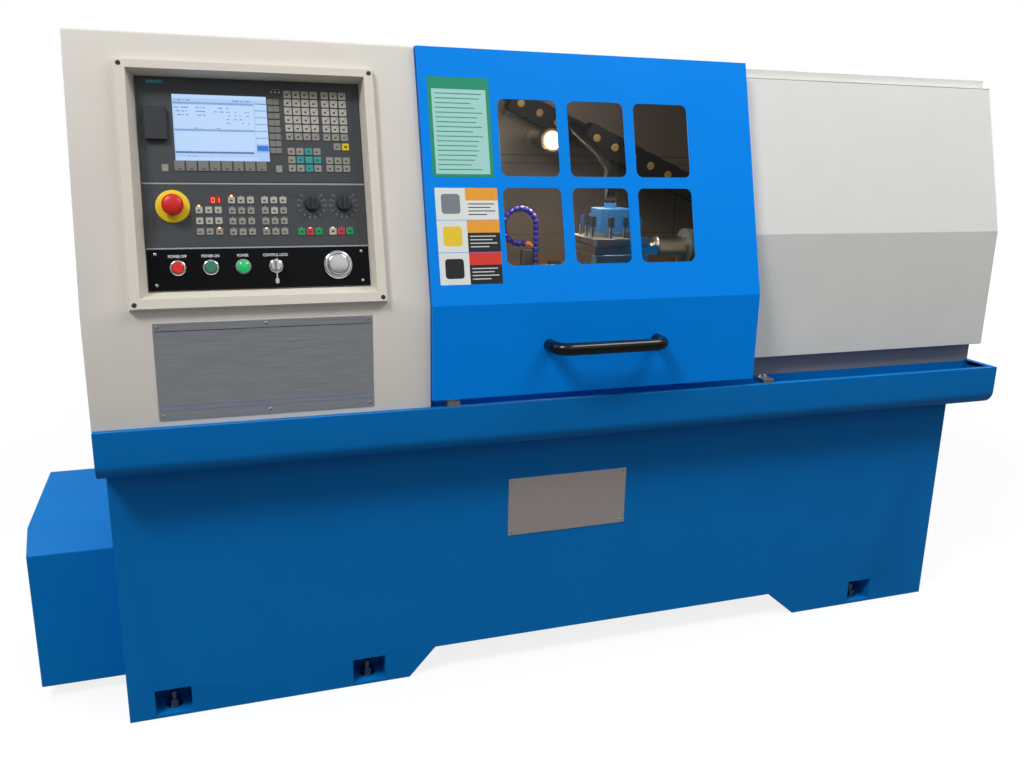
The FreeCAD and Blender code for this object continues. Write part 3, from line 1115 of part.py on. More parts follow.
block_tools.append(rod("z", BLOCK_Z0 - 1, CAP_Z0 + 1, TURRET_X, TURRET_Y, POST_RADIUS + FIT))
save("tool_block", cut(block, block_tools))

# Turning tool, boring bar with its sleeve, and the clamp screws.
tool_x = TURRET_X - BLOCK_HALF + 2
shank = box(tool_x, tool_x + 20, TURRET_Y - 78, TURRET_Y + 92, TOOL_SLOT_Z, TOOL_SLOT_Z + 20)
nose = prism("z", [(tool_x, TURRET_Y + 91), (tool_x + 20, TURRET_Y + 91), (tool_x + 12, TURRET_Y + 100),
                   (tool_x - 3, TURRET_Y + 102), (tool_x - 3, TURRET_Y + 96)], TOOL_SLOT_Z + 6, TOOL_SLOT_Z + 20)
bar_y = TURRET_Y + BLOCK_HALF - 12
sleeve = box(TURRET_X - 68, TURRET_X + 76, bar_y - 9, bar_y + 11, TOOL_SLOT_Z, TOOL_SLOT_Z + 20)
boring = rod("x", TURRET_X + 70, TURRET_X + 108, bar_y, TOOL_SLOT_Z + 10, 8)
front_tool = box(TURRET_X - 66, TURRET_X + 94, TURRET_Y - BLOCK_HALF + 2, TURRET_Y - BLOCK_HALF + 22,
                 TOOL_SLOT_Z, TOOL_SLOT_Z + 20)
pieces = [fuse([shank, nose]), front_tool]
sleeve = cut(sleeve, [box(TURRET_X - BLOCK_HALF - 5, tool_x + 20 + GLIDE, TURRET_Y - 100, TURRET_Y + 120,
                          TOOL_SLOT_Z - 1, TOOL_SLOT_Z + 30)])
pieces.append(fuse([sleeve, boring]))


def clamp_screw(x, y):
    """Square-headed screw standing on the block over a tool shank."""
    return fuse([rod("z", BLOCK_Z1, BLOCK_Z1 + 26, x, y, 5),
                 box(x - 6, x + 6, y - 6, y + 6, BLOCK_Z1 + 26, BLOCK_Z1 + 50)])


for y in (TURRET_Y - 36, TURRET_Y, TURRET_Y + 36):
    pieces.append(clamp_screw(TURRET_X - BLOCK_HALF + 12, y))
for x in (TURRET_X - 28, TURRET_X + 8, TURRET_X + 44):
    pieces.append(clamp_screw(x, TURRET_Y + BLOCK_HALF - 12))
    pieces.append(clamp_screw(x, TURRET_Y - BLOCK_HALF + 12))
save("cutting_tools", group(pieces))

cap = prism("z", [(TURRET_X - 40.5, TURRET_Y - 30), (TURRET_X - 28, TURRET_Y - 40), (TURRET_X + 28, TURRET_Y - 40),
                  (TURRET_X + 40.5, TURRET_Y - 30), (TURRET_X + 40.5, TURRET_Y + 30),
                  (TURRET_X + 28, TURRET_Y + 40), (TURRET_X - 28, TURRET_Y + 40),
                  (TURRET_X - 40.5, TURRET_Y + 30)], CAP_Z0, CAP_Z1)
cap = fuse([cap, rod("z", CAP_Z1, CAP_Z1 + 12, TURRET_X, TURRET_Y + 8, 15)])
save("turret_cap", cap)


# ================================================================ tailstock
BARREL_RADIUS = 46.0
QUILL_BORE = 10.0
tail_vee = prism("x", [(VEE_Y - VEE_HALF - 1, seat - 1), (VEE_Y - VEE_HALF - 1, seat),
                       (VEE_Y - VEE_HALF + 0.15, seat), (VEE_Y, BED_TOP + VEE_HALF + VEE_LIFT),
                       (VEE_Y + VEE_HALF - 0.15, seat), (VEE_Y + VEE_HALF + 1, seat),
                       (VEE_Y + VEE_HALF + 1, seat - 1)], TAIL_X0 - 1, TAIL_X1 + 1)
LEVER_X = 1520.0
LEVER_Z = 868.0
LEVER_Y = 190.0
FOOT_TOP = BED_TOP + 37.0
NECK_FOOT = 90.0
NECK_HEAD = 40.0
TONGUE_HALF = 68.0
TONGUE_Z0 = BED_TOP - 33.0
tail = fuse([
    box(TAIL_X0, TAIL_X1, BED_Y0 - 5, BED_Y1 + 5, seat, FOOT_TOP),
    prism("x", [(AXIS_Y - NECK_FOOT, FOOT_TOP - 1), (AXIS_Y + NECK_FOOT, FOOT_TOP - 1),
                (AXIS_Y + NECK_HEAD, AXIS_Z), (AXIS_Y - NECK_HEAD, AXIS_Z)], TAIL_X0 + 12, TAIL_X1 - 12),
    rod("x", TAIL_X0, TAIL_X1, AXIS_Y, AXIS_Z, BARREL_RADIUS),
    rod("y", LEVER_Y + 14, 250, LEVER_X, LEVER_Z, 17),
    rod("y", LEVER_Y - 2, LEVER_Y + 14, LEVER_X, LEVER_Z, 7),
    box(TAIL_X0 + 50, TAIL_X1 - 50, AXIS_Y - TONGUE_HALF, AXIS_Y + TONGUE_HALF, TONGUE_Z0, seat + 1),
])
tail = cut(tail, [
    tail_vee,
    rod("x", TAIL_X0 - 1, TAIL_X1 + 1, AXIS_Y, AXIS_Z, QUILL_RADIUS + FIT),
])
save("tailstock", tail)

quill = turned("x", [
    (QUILL_X0, QUILL_BORE), (QUILL_X0, QUILL_RADIUS - 2), (QUILL_X0 + 2, QUILL_RADIUS),
    (QUILL_X1, QUILL_RADIUS), (QUILL_X1, QUILL_BORE),
], AXIS_Y, AXIS_Z)
save("tail_quill", quill)

live_centre = turned("x", [
    (CENTRE_TIP, 0), (CENTRE_TIP + 26, 11), (CENTRE_TIP + 26, 17), (CENTRE_TIP + 28, 18),
    (QUILL_X0 - GLIDE, 18), (QUILL_X0 - GLIDE, QUILL_BORE - FIT), (QUILL_X0 + 52, QUILL_BORE - FIT),
    (QUILL_X0 + 52, 0),
], AXIS_Y, AXIS_Z)
save("live_centre", live_centre)

WHEEL_X = TAIL_X1 + GLIDE
WHEEL_RADIUS = 66.0
wheel = [
    rod("x", QUILL_X0 + 130, WHEEL_X + 1, AXIS_Y, AXIS_Z, QUILL_BORE - 0.5),
    turned("x", [(WHEEL_X, 0), (WHEEL_X, 24), (WHEEL_X + 30, 20), (WHEEL_X + 34, 0)], AXIS_Y, AXIS_Z),
    turned("x", [(WHEEL_X + 18, WHEEL_RADIUS - 9), (WHEEL_X + 18, WHEEL_RADIUS), (WHEEL_X + 30, WHEEL_RADIUS),
                 (WHEEL_X + 30, WHEEL_RADIUS - 9)], AXIS_Y, AXIS_Z),
    rod("x", WHEEL_X + 29, WHEEL_X + 76, AXIS_Y, AXIS_Z + WHEEL_RADIUS - 6, 8),
]
for i in range(3):
    spoke = box(WHEEL_X + 20, WHEEL_X + 28, AXIS_Y - 6, AXIS_Y + 6, AXIS_Z + 16, AXIS_Z + WHEEL_RADIUS - 5)
    spoke.rotate(V(0, AXIS_Y, AXIS_Z), V(1, 0, 0), 120.0 * i)
    wheel.append(spoke)
save("tail_handwheel", fuse(wheel))

lever_hub = rod("y", LEVER_Y - 8, LEVER_Y + 14 - GLIDE, LEVER_X, LEVER_Z, 15)
lever_hub = cut(lever_hub, [rod("y", LEVER_Y - 3, LEVER_Y + 15, LEVER_X, LEVER_Z, 7 + FIT)])
lever = fuse([lever_hub, rod("z", LEVER_Z + 13, LEVER_Z + 120, LEVER_X, LEVER_Y + 3, 6),
              Part.makeSphere(12, V(LEVER_X, LEVER_Y + 3, LEVER_Z + 124))])
save("tail_clamp_lever", lever)

# ================================================================ coolant tank and pump
TANK = (800.0, 1540.0, 180.0, 600.0, arch_floor, 340.0)
PUMP_X = 920.0
PUMP_Y = 500.0
tank = box(*TANK)
tank = cut(tank, [
    box(TANK[0] + 3, TANK[1] - 3, TANK[2] + 3, TANK[3] - 3, TANK[4] + 3, TANK[5] - 3),
    box(1040, TANK[1] - 30, TANK[2] + 30, TANK[3] - 30, TANK[5] - 4, TANK[5] + 1),
    rod("z", TANK[5] - 4, TANK[5] + 1, PUMP_X, PUMP_Y, 46),
])
pump = [
    rod("z", TANK[4] + 40, TANK[5], PUMP_X, PUMP_Y, 40),
    rod("z", TANK[5], TANK[5] + 12, PUMP_X, PUMP_Y, 68),
    rod("z", TANK[5] + 11, TANK[5] + 132, PUMP_X, PUMP_Y, 52),
    rod("z", TANK[5] + 131, TANK[5] + 146, PUMP_X, PUMP_Y, 44),
    box(PUMP_X + 40, PUMP_X + 82, PUMP_Y - 26, PUMP_Y + 26, TANK[5] + 60, TANK[5] + 110),
]
save("coolant_tank", fuse([tank] + pump))

# ================================================================ work lamp
LAMP_DROP = 179.0
LAMP = V(1126.0, 490.0, CABINET_TOP - LAMP_DROP)
lamp = fuse([
    turned("y", [(LAMP.y, 0), (LAMP.y, 26), (LAMP.y + 2, 31), (LAMP.y + 34, 31), (LAMP.y + 52, 16),
                 (LAMP.y + 52, 0)], LAMP.x, LAMP.z),
    rod("y", LAMP.y + 51, BACK - SHEET - 8, LAMP.x, LAMP.z, 8),
    rod("y", BACK - SHEET - 8, BACK - SHEET, LAMP.x, LAMP.z, 28),
])
save("work_lamp", lamp)

# ================================================================ cable chain
PITCH = 59.0
HALF_HIGH = 31.0
SLOPE = math.radians(23.3)
NEAR_PIN = V(PIN_X, CHAIN_NEAR_Y, PIN_Z)
FAR_Y = 600.0
NEAR_LINKS = 7
FAR_LINKS = 10
BEND_LINKS = 6
along = V(math.cos(SLOPE), 0, -math.sin(SLOPE))
across = V(0, FAR_Y - CHAIN_NEAR_Y, 18.0).normalize()
upward = across.cross(along).normalize() * -1.0
if upward.z < 0:
    upward = upward * -1.0
bend_radius = (FAR_Y - CHAIN_NEAR_Y) / 2.0
near_start = NEAR_PIN - along * (PITCH / 2.0)


def link_solid(corners, offset):
    """Link from its outline (run, rise) in the chain's face plane."""
    front = [near_start + along * s + upward * h + across * (offset - CHAIN_HALF) for s, h in corners]
    return Part.Face(Part.makePolygon(front + [front[0]])).extrude(across * (2 * CHAIN_HALF))


def link_outline(s):
    """Outline of one link starting at run s, with cut corners."""
    nick = 6.0
    return [(s, -HALF_HIGH + nick), (s + nick, -HALF_HIGH), (s + PITCH - nick, -HALF_HIGH),
            (s + PITCH, -HALF_HIGH + nick), (s + PITCH, HALF_HIGH - nick), (s + PITCH - nick, HALF_HIGH),
            (s + nick, HALF_HIGH), (s, HALF_HIGH - nick)]


links = []
for i in range(NEAR_LINKS):
    links.append(link_solid(link_outline(PITCH * i), 0.0))
run_end = PITCH * NEAR_LINKS
for i in range(FAR_LINKS):
    links.append(link_solid(link_outline(run_end - PITCH * (i + 1)), 2 * bend_radius))
bend_centre = near_start + along * run_end + across * bend_radius
for i in range(BEND_LINKS):
    a0 = math.pi * i / BEND_LINKS
    a1 = math.pi * (i + 1) / BEND_LINKS
    corners = []
    for a, r in ((a0, bend_radius - CHAIN_HALF), (a1, bend_radius - CHAIN_HALF),
                 (a1, bend_radius + CHAIN_HALF), (a0, bend_radius + CHAIN_HALF)):
        corners.append(bend_centre - across * (r * math.cos(a)) + along * (r * math.sin(a))
                       - upward * (HALF_HIGH - 2))
    wedge = Part.Face(Part.makePolygon(corners + [corners[0]])).extrude(upward * (2 * HALF_HIGH - 4))
    links.append(wedge)
save("drag_chain", group(links))

# ================================================================ conduit and coolant hose
CONDUIT_RADIUS = 11.0
chain_end = near_start - along * 4 * GLIDE
conduit = bent_rod([
    chain_end, chain_end - along * 40, V(TURRET_X, TURRET_Y + 8, CAP_Z1 + 82),
    V(TURRET_X, TURRET_Y + 8, CAP_Z1 + 12),
], CONDUIT_RADIUS, 30.0)
save("conduit", conduit)

HOSE_X = SADDLE_X0 + 42.0
HOSE_Y = SADDLE_Y1 - 10.0
LOOP_RADIUS = 46.0
LOOP_Z = SADDLE_TOP + 157.0
HOSE_PITCH = 15.0
HOSE_THIN = 6.5
HOSE_THICK = 8.5
TURN_RADIUS = 20.0
straight = LOOP_Z - SADDLE_TOP
loop_length = LOOP_RADIUS * math.radians(270.0)
turn_length = TURN_RADIUS * math.radians(90.0)
loop_x = HOSE_X - LOOP_RADIUS


def hose_frame(s):
    """Point and two cross directions of the hose at run s."""
    if s <= straight:
        return V(HOSE_X, HOSE_Y, SADDLE_TOP + s), V(0, 1, 0), V(-1, 0, 0)
    s -= straight
    if s <= loop_length:
        a = s / LOOP_RADIUS
        out = V(math.cos(a), 0, math.sin(a))
        return V(loop_x, HOSE_Y, LOOP_Z) + out * LOOP_RADIUS, V(0, 1, 0), out * -1.0
    b = min((s - loop_length) / TURN_RADIUS, math.pi / 2)
    point = V(loop_x + TURN_RADIUS * math.sin(b), HOSE_Y - TURN_RADIUS + TURN_RADIUS * math.cos(b),
              LOOP_Z - LOOP_RADIUS)
    rest = max(s - loop_length - turn_length, 0.0)
    point = point + V(0, -rest, 0)
    return point, V(math.sin(b), math.cos(b), 0), V(0, 0, 1)


def hose_ring(s, radius, sides=10):
    """Polygon ring round the hose at run s."""
    point, e1, e2 = hose_frame(s)
    corners = [point + e1 * (radius * math.cos(t)) + e2 * (radius * math.sin(t))
               for t in [2 * math.pi * i / sides for i in range(sides)]]
    return Part.makePolygon(corners + [corners[0]])


hose_length = straight + loop_length + turn_length
beads = int(hose_length / HOSE_PITCH)
rings = []
for i in range(beads):
    rings.append(hose_ring(hose_length * i / beads, HOSE_THIN))
    rings.append(hose_ring(hose_length * (i + 0.5) / beads, HOSE_THICK))
rings.append(hose_ring(hose_length, HOSE_THIN))
rings.append(hose_ring(hose_length + 6, HOSE_THICK))
rings.append(hose_ring(hose_length + 34, 4.0))
hose = Part.makeLoft(rings, True, True)
VALVE_HIGH = 95.0
VALVE_DEEP = 24.0
valve_x = SADDLE_X0 + 1.0
valve = fuse([
    box(valve_x, valve_x + 29, SADDLE_Y1 - VALVE_DEEP, SADDLE_Y1, SADDLE_TOP, SADDLE_TOP + VALVE_HIGH),
    box(valve_x, valve_x + 59, SADDLE_Y1 - VALVE_DEEP, SADDLE_Y1, SADDLE_TOP, SADDLE_TOP + 20),
])
valve = cut(valve, [rod("z", SADDLE_TOP - 1, SADDLE_TOP + 25, HOSE_X, HOSE_Y, HOSE_THICK + 0.5)])
save("coolant_hose", group([hose, valve]))
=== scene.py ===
import json
import math

import bmesh
import bpy
import numpy as np
from mathutils import Matrix, Vector


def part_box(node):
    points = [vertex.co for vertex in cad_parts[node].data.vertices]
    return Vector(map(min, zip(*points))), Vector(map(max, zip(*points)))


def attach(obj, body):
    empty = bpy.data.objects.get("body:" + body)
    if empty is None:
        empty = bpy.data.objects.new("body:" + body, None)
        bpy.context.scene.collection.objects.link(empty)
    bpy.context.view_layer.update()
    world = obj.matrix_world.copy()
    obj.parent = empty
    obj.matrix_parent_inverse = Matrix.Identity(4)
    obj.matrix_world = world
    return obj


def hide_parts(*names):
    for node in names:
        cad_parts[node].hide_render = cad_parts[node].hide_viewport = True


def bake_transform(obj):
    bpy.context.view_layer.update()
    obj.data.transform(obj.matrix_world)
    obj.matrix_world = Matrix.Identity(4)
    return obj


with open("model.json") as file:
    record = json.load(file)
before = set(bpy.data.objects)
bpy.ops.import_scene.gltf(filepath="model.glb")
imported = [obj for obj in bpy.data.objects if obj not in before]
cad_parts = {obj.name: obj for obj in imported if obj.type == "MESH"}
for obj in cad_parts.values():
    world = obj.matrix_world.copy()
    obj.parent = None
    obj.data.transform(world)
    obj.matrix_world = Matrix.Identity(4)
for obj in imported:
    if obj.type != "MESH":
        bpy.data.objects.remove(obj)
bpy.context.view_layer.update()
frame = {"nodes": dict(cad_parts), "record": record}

NODES = frame["nodes"]
BODY_OF = {n: b for b, ns in frame["record"]["behaviour"]["bodies"].items() for n in ns}

# ---- machine frame
# Machine millimetres: x from the cabinet's left side, y from the base's front
# face towards the rear, z from the floor.
CABINET_RIGHT = 655.8
CABINET_FRONT = -66.0
DOOR_FRONT = -77.5
REAR_WALL = 642.0
# Above the knee the upright fronts of cabinet and door lean back.
KNEE = 889.6
LEAN = math.radians(15.1)
# Turn between two faces, below which their edge is dissolved as flat, and from which it is sharp on a CAD
# piece and on a piece made here.
FLAT_TURN = math.radians(0.6)
EDGE_TURN = math.radians(32)
SMOOTH_TURN = math.radians(35)
cabinet_low, cabinet_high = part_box("headstock_cabinet")
ZERO = Vector((cabinet_high.x - CABINET_RIGHT / 1000.0, cabinet_low.y - CABINET_FRONT / 1000.0, 0.0))


def at(x, y, z):
    """Machine millimetres to a point of the frame in metres."""
    return ZERO + Vector((x, y, z)) / 1000.0


def mm(points):
    """The same for an array of points."""
    return np.asarray(points, float) / 1000.0 + np.array(ZERO)


def leaning(points, front=CABINET_FRONT):
    """Console points (u right, v up the lean, w out) to frame metres: a turn about the knee line."""
    p = np.asarray(points, float)
    u, v, w = p[..., 0], p[..., 1], p[..., 2]
    y = front + v * math.sin(LEAN) - w * math.cos(LEAN)
    z = KNEE + v * math.cos(LEAN) + w * math.sin(LEAN)
    return mm(np.stack([u, y, z], -1))


def upright(points, front):
    """Points (x right, z up, w out) on an upright front face to frame metres."""
    p = np.asarray(points, float)
    return mm(np.stack([p[..., 0], front - p[..., 2], p[..., 1]], -1))


def door_face(points):
    """Points on the door's leaning face to frame metres."""
    return leaning(points, DOOR_FRONT)


def upright_cabinet(points):
    """Points on the cabinet's upright face."""
    return upright(points, CABINET_FRONT)


def upright_base(points):
    """Points on the base's front face."""
    return upright(points, 0.0)


def rear_wall(points):
    """Points on the front side of the enclosure's rear wall."""
    return upright(points, REAR_WALL)


# ---- surfaces
def grid_faces(rows, cols, closed):
    """Quads between neighbouring rows; the columns run round when closed."""
    r = np.arange(rows - 1)[:, None]
    c = np.arange(cols if closed else cols - 1)[None, :]
    n = (c + 1) % cols
    return np.stack([r * cols + c, r * cols + n, (r + 1) * cols + n, (r + 1) * cols + c], -1).reshape(-1, 4)


def repeated(faces, count, step):
    """The same faces for each copy, shifted by that copy's first vertex."""
    return (faces[None] + (np.arange(count) * step)[:, None, None]).reshape(-1, faces.shape[1])


def closed_faces(rows, cols, count=1):
    """Walls, far cap and near cap of closed rows of points, for each of the copies."""
    step = rows * cols
    caps = [(np.arange(cols) + step - cols)[None], np.arange(cols)[::-1][None]]
    return [repeated(faces, count, step) for faces in [grid_faces(rows, cols, True)] + caps]


def slabs(centres, halves, radius, levels, corner=4):
    """Rounded rectangles carried up through levels (inset, height), one for each centre.
    Outline: four arcs about the corners of an inner rectangle, their radius less the inset."""
    centres = np.atleast_2d(np.asarray(centres, float))
    halves = np.broadcast_to(np.asarray(halves, float), (len(centres), 2))
    t = np.linspace(0, math.pi / 2, corner)
    angles = np.concatenate([t + k * math.pi / 2 for k in range(4)])
    sx = np.repeat([1, -1, -1, 1], corner)
    sy = np.repeat([1, 1, -1, -1], corner)
    levels = np.asarray(levels, float)
    inset = levels[:, 0][None, :, None]
    reach = np.maximum(radius - inset, 0.02)
    inner = halves[:, :, None, None] - np.maximum(inset, radius)[:, None]
    x = centres[:, 0, None, None] + sx * inner[:, 0] + reach * np.cos(angles)
    y = centres[:, 1, None, None] + sy * inner[:, 1] + reach * np.sin(angles)
    z = np.broadcast_to(levels[:, 1][None, :, None], x.shape)
    return np.stack([x, y, z], -1).reshape(-1, 3), closed_faces(len(levels), 4 * corner, len(centres))


def rounds(centres, profile, sides=32):
    """Profile (radius, height) turned about each centre: (x + r cos a, y + r sin a, h)."""
    centres = np.atleast_2d(np.asarray(centres, float))
    profile = np.asarray(profile, float)
    a = np.linspace(0, 2 * math.pi, sides, endpoint=False)
    r = np.maximum(profile[:, 0], 1e-3)[:, None]
    x = centres[:, 0, None, None] + r * np.cos(a)
    y = centres[:, 1, None, None] + r * np.sin(a)
    z = np.broadcast_to(profile[:, 1][None, :, None], x.shape)
    return np.stack([x, y, z], -1).reshape(-1, 3), closed_faces(len(profile), sides, len(centres))


def tube(path, radii, material, sides=20):
    """Circle carried along a path of machine points with a radius for each: p + r (n cos a + b sin a)."""
    path = mm(path)
    tangent = np.gradient(path, axis=0)
    tangent /= np.linalg.norm(tangent, axis=1)[:, None]
    normal = np.zeros_like(path)
    start = np.array([0.0, 1.0, 0.0]) if abs(tangent[0, 1]) < 0.9 else np.array([1.0, 0.0, 0.0])
    normal[0] = start - tangent[0] * (start @ tangent[0])
    for i in range(1, len(path)):
        normal[i] = normal[i - 1] - tangent[i] * (normal[i - 1] @ tangent[i])
    normal /= np.linalg.norm(normal, axis=1)[:, None]
    side = np.cross(tangent, normal)
    a = np.linspace(0, 2 * math.pi, sides, endpoint=False)
    ring = normal[:, None] * np.cos(a)[None, :, None] + side[:, None] * np.sin(a)[None, :, None]
    points = path[:, None] + ring * (np.asarray(radii, float) / 1000.0)[:, None, None]
    return points.reshape(-1, 3), closed_faces(len(path), sides), material


def curve_through(points, count):
    """Smooth line through given points: Catmull-Rom pieces sampled evenly in the parameter."""
    p = np.asarray(points, float)
    p = np.vstack([2 * p[0] - p[1], p, 2 * p[-1] - p[-2]])
    s = np.linspace(0, len(p) - 3 - 1e-9, count)
    k = s.astype(int)
    f = (s - k)[:, None]
    a, b, c, d = p[k], p[k + 1], p[k + 2], p[k + 3]
    square = 2 * a - 5 * b + 4 * c - d
    cube = 3 * b - a - 3 * c + d
    return 0.5 * (2 * b + (c - a) * f + square * f ** 2 + cube * f ** 3)


def placed(name, data):
    """New object of the scene that shows the data."""
    obj = bpy.data.objects.new(name, data)
    bpy.context.scene.collection.objects.link(obj)
    return obj


def piece(name, parts, body, replaces=(), bevel=0.0, stage=False):
    """One object from parts (points in frame metres, face arrays, material), riding on its body if it has one
    and standing in for the nodes it replaces."""
    points, loops, totals, slots, materials = [], [], [], [], []
    shift = 0
    for verts, faces, material in parts:
        if material not in materials:
            materials.append(material)
        for block in faces:
            loops.append((block + shift).ravel())
            totals.append(np.full(len(block), block.shape[1]))
            slots.append(np.full(len(block), materials.index(material)))
        points.append(verts)
        shift += len(verts)
    points, loops = np.concatenate(points), np.concatenate(loops)
    totals, slots = np.concatenate(totals), np.concatenate(slots)
    mesh = bpy.data.meshes.new(name)
    mesh.vertices.add(len(points))
    mesh.vertices.foreach_set("co", points.astype(np.float32).ravel())
    mesh.loops.add(len(loops))
    mesh.loops.foreach_set("vertex_index", loops.astype(np.int32))
    mesh.polygons.add(len(totals))
    mesh.polygons.foreach_set("loop_start", np.concatenate([[0], np.cumsum(totals)[:-1]]).astype(np.int32))
    mesh.polygons.foreach_set("material_index", slots.astype(np.int32))
    for material in materials:
        mesh.materials.append(material)
    mesh.update(calc_edges=True)
    mesh.validate()
    mesh.shade_smooth()
    mesh.set_sharp_from_angle(angle=SMOOTH_TURN)
    obj = placed(name, mesh)
    if bevel:
        soften(obj, bevel)
    if stage:
        return obj
    if body:
        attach(obj, body)
    if replaces:
        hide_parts(*replaces)
    return obj


def soften(obj, width_mm):
    """Small rounded edges, as a folded, moulded or machined edge has."""
    edge = obj.modifiers.new("edge", "BEVEL")
    edge.width = width_mm / 1000.0
    edge.segments = 2
    edge.limit_method = "ANGLE"
    edge.angle_limit = EDGE_TURN
    edge.harden_normals = True


# ---- finishes
SCREEN_OFF = (0.01, 0.01, 0.012, 1.0)


def linear(hex_value):
    """sRGB hex colour to linear values."""
    c = np.array([int(hex_value[i:i + 2], 16) for i in (1, 3, 5)]) / 255.0
    c = np.where(c <= 0.04045, c / 12.92, ((c + 0.055) / 1.055) ** 2.4)
    return (float(c[0]), float(c[1]), float(c[2]), 1.0)


def add(tree, kind, inputs=None, **settings):
    """Adds a shader node with its settings; inputs hold values or sockets to link."""
    node = tree.nodes.new("ShaderNode" + kind)
    for key, value in settings.items():
        setattr(node, key, value)
    for key, value in (inputs or {}).items():
        if isinstance(value, bpy.types.NodeSocket):
            tree.links.new(value, node.inputs[key])
        else:
            node.inputs[key].default_value = value
    return node


def emptied(holder):
    """Node tree of a material or a world, with nothing in it."""
    holder.use_nodes = True
    holder.node_tree.nodes.clear()
    return holder.node_tree


def spread_of(tree, value, low, high, least, most, **settings):
    """Carries a value from its range low to high over to the range least to most."""
    ends = {"Value": value, "From Min": low, "From Max": high, "To Min": least, "To Max": most}
    return add(tree, "MapRange", ends, **settings).outputs[0]


def finish(name, hex_value, roughness, metallic=0.0, grain_mm=None, grain=0.0, stretch=None, vary=0.0,
           mottle=0.0, mottle_mm=120.0, coat=0.0, emission=0.0, ior=1.5, sheen=0.5, screen=False):
    """Principled finish. The grain is a fine noise of that size as a bump, stretched where brushing draws it
    out. vary changes the roughness, along the grain where stretched and in hand-wide clouds elsewhere. mottle
    darkens the colour in clouds. sheen is how strongly a plain surface mirrors."""
    material = bpy.data.materials.new(name)
    material.use_nodes = True
    tree = material.node_tree
    shader = tree.nodes["Principled BSDF"]
    colour = linear(hex_value)
    values = {"Base Color": SCREEN_OFF if screen else colour, "Roughness": roughness, "Metallic": metallic}
    if not metallic:
        values.update({"IOR": ior, "Specular IOR Level": sheen})
    if coat:
        values.update({"Coat Weight": coat, "Coat Roughness": 0.12})
    if emission:
        values.update({"Emission Color": colour, "Emission Strength": emission})
    for key, value in values.items():
        shader.inputs[key].default_value = value
    place = add(tree, "TexCoord").outputs["Object"]
    if grain_mm:
        drawn = add(tree, "Mapping", {"Vector": place, "Scale": stretch or (1, 1, 1)})
        fine = add(tree, "TexNoise", {"Vector": drawn.outputs[0], "Scale": 1000.0 / grain_mm, "Detail": 3.0})
        bump = add(tree, "Bump", {"Height": fine.outputs[0], "Strength": grain, "Distance": 0.0004})
        tree.links.new(bump.outputs[0], shader.inputs["Normal"])
    if vary:
        if stretch:
            change = fine.outputs[0]
        else:
            slow = add(tree, "TexNoise", {"Vector": place, "Scale": 9.0, "Detail": 4.0})
            change = slow.outputs[0]
        tree.links.new(spread_of(tree, change, 0.3, 0.7, roughness - vary, roughness + vary),
                       shader.inputs["Roughness"])
    if mottle:
        cloud = add(tree, "TexNoise", {"Vector": place, "Scale": 1000.0 / mottle_mm, "Detail": 5.0})
        share = spread_of(tree, cloud.outputs[0], 0.2, 0.8, 0.0, 1.0, interpolation_type="SMOOTHSTEP")
        dark = tuple(c * (1.0 - mottle) for c in colour[:3]) + (1.0,)
        tone = add(tree, "Mix", {"Factor": share, "A": dark, "B": colour}, data_type="RGBA")
        tree.links.new(tone.outputs["Result"], shader.inputs["Base Color"])
    return material


def clear_sheet(name, tint, gloss):
    """Thin clear polycarbonate: light passes straight through, with gloss rising at grazing angles."""
    material = bpy.data.materials.new(name)
    tree = emptied(material)
    out = add(tree, "OutputMaterial")
    through = add(tree, "BsdfTransparent", {"Color": linear(tint)})
    shine = add(tree, "BsdfGlossy", {"Color": (1, 1, 1, 1), "Roughness": 0.03})
    weight = add(tree, "Fresnel", {"IOR": gloss})
    mix = add(tree, "MixShader", {0: weight.outputs[0], 1: through.outputs[0], 2: shine.outputs[0]})
    tree.links.new(mix.outputs[0], out.inputs[0])
    return material


def key_foil(colour, hex_value, roughness=0.40):
    """Printed polyester foil over a raised key: even colour, soft gloss."""
    return finish(colour + " key foil", hex_value, roughness, ior=1.46)


def vinyl(colour, hex_value):
    """Printed vinyl: smooth ink with a slight gloss."""
    return finish(colour + " printed vinyl", hex_value, 0.30)


def lit_screen(part, hex_value, strength):
    """Lit field of the display: dark glass that glows in its colour."""
    return finish("lit screen " + part, hex_value, 0.14, emission=strength, screen=True)


# Enamel and powder coat: faint orange peel about 2 mm across, low gloss, slight clouds.
ENAMEL = {"grain_mm": 2.2, "grain": 0.10, "vary": 0.05, "mottle": 0.05, "sheen": 0.12}
POWDER = {"grain_mm": 2.0, "grain": 0.10, "vary": 0.05, "mottle": 0.03, "sheen": 0.35}
ENAMEL_BLUE = finish("blue enamel on sheet steel", "#0678c8", 0.36, **ENAMEL)
DRIVE_BLUE = finish("blue enamel on folded cover", "#007fd0", 0.38, **ENAMEL)
DOOR_BLUE = finish("bright blue powder coat", "#008cf6", 0.34, grain_mm=2.2, grain=0.08, vary=0.04,
                   mottle=0.03, sheen=0.10)
CABINET_CREAM = finish("cream powder coat", "#e4dfd6", 0.42, **POWDER)
COVER_WHITE = finish("white powder coat", "#e5e5e0", 0.42, **POWDER)
BEZEL_WHITE = finish("warm white enamel on formed bezel", "#e2dccf", 0.40, grain_mm=2.0, grain=0.06,
                     vary=0.04, sheen=0.35)
SKIRT_GREY = finish("grey powder coat", "#8f9398", 0.45, grain_mm=2.0, grain=0.10, vary=0.05)
TURRET_BLUE = finish("mid blue enamel on turret cap", "#3b82c8", 0.32, grain_mm=2.0, grain=0.06, coat=0.2)
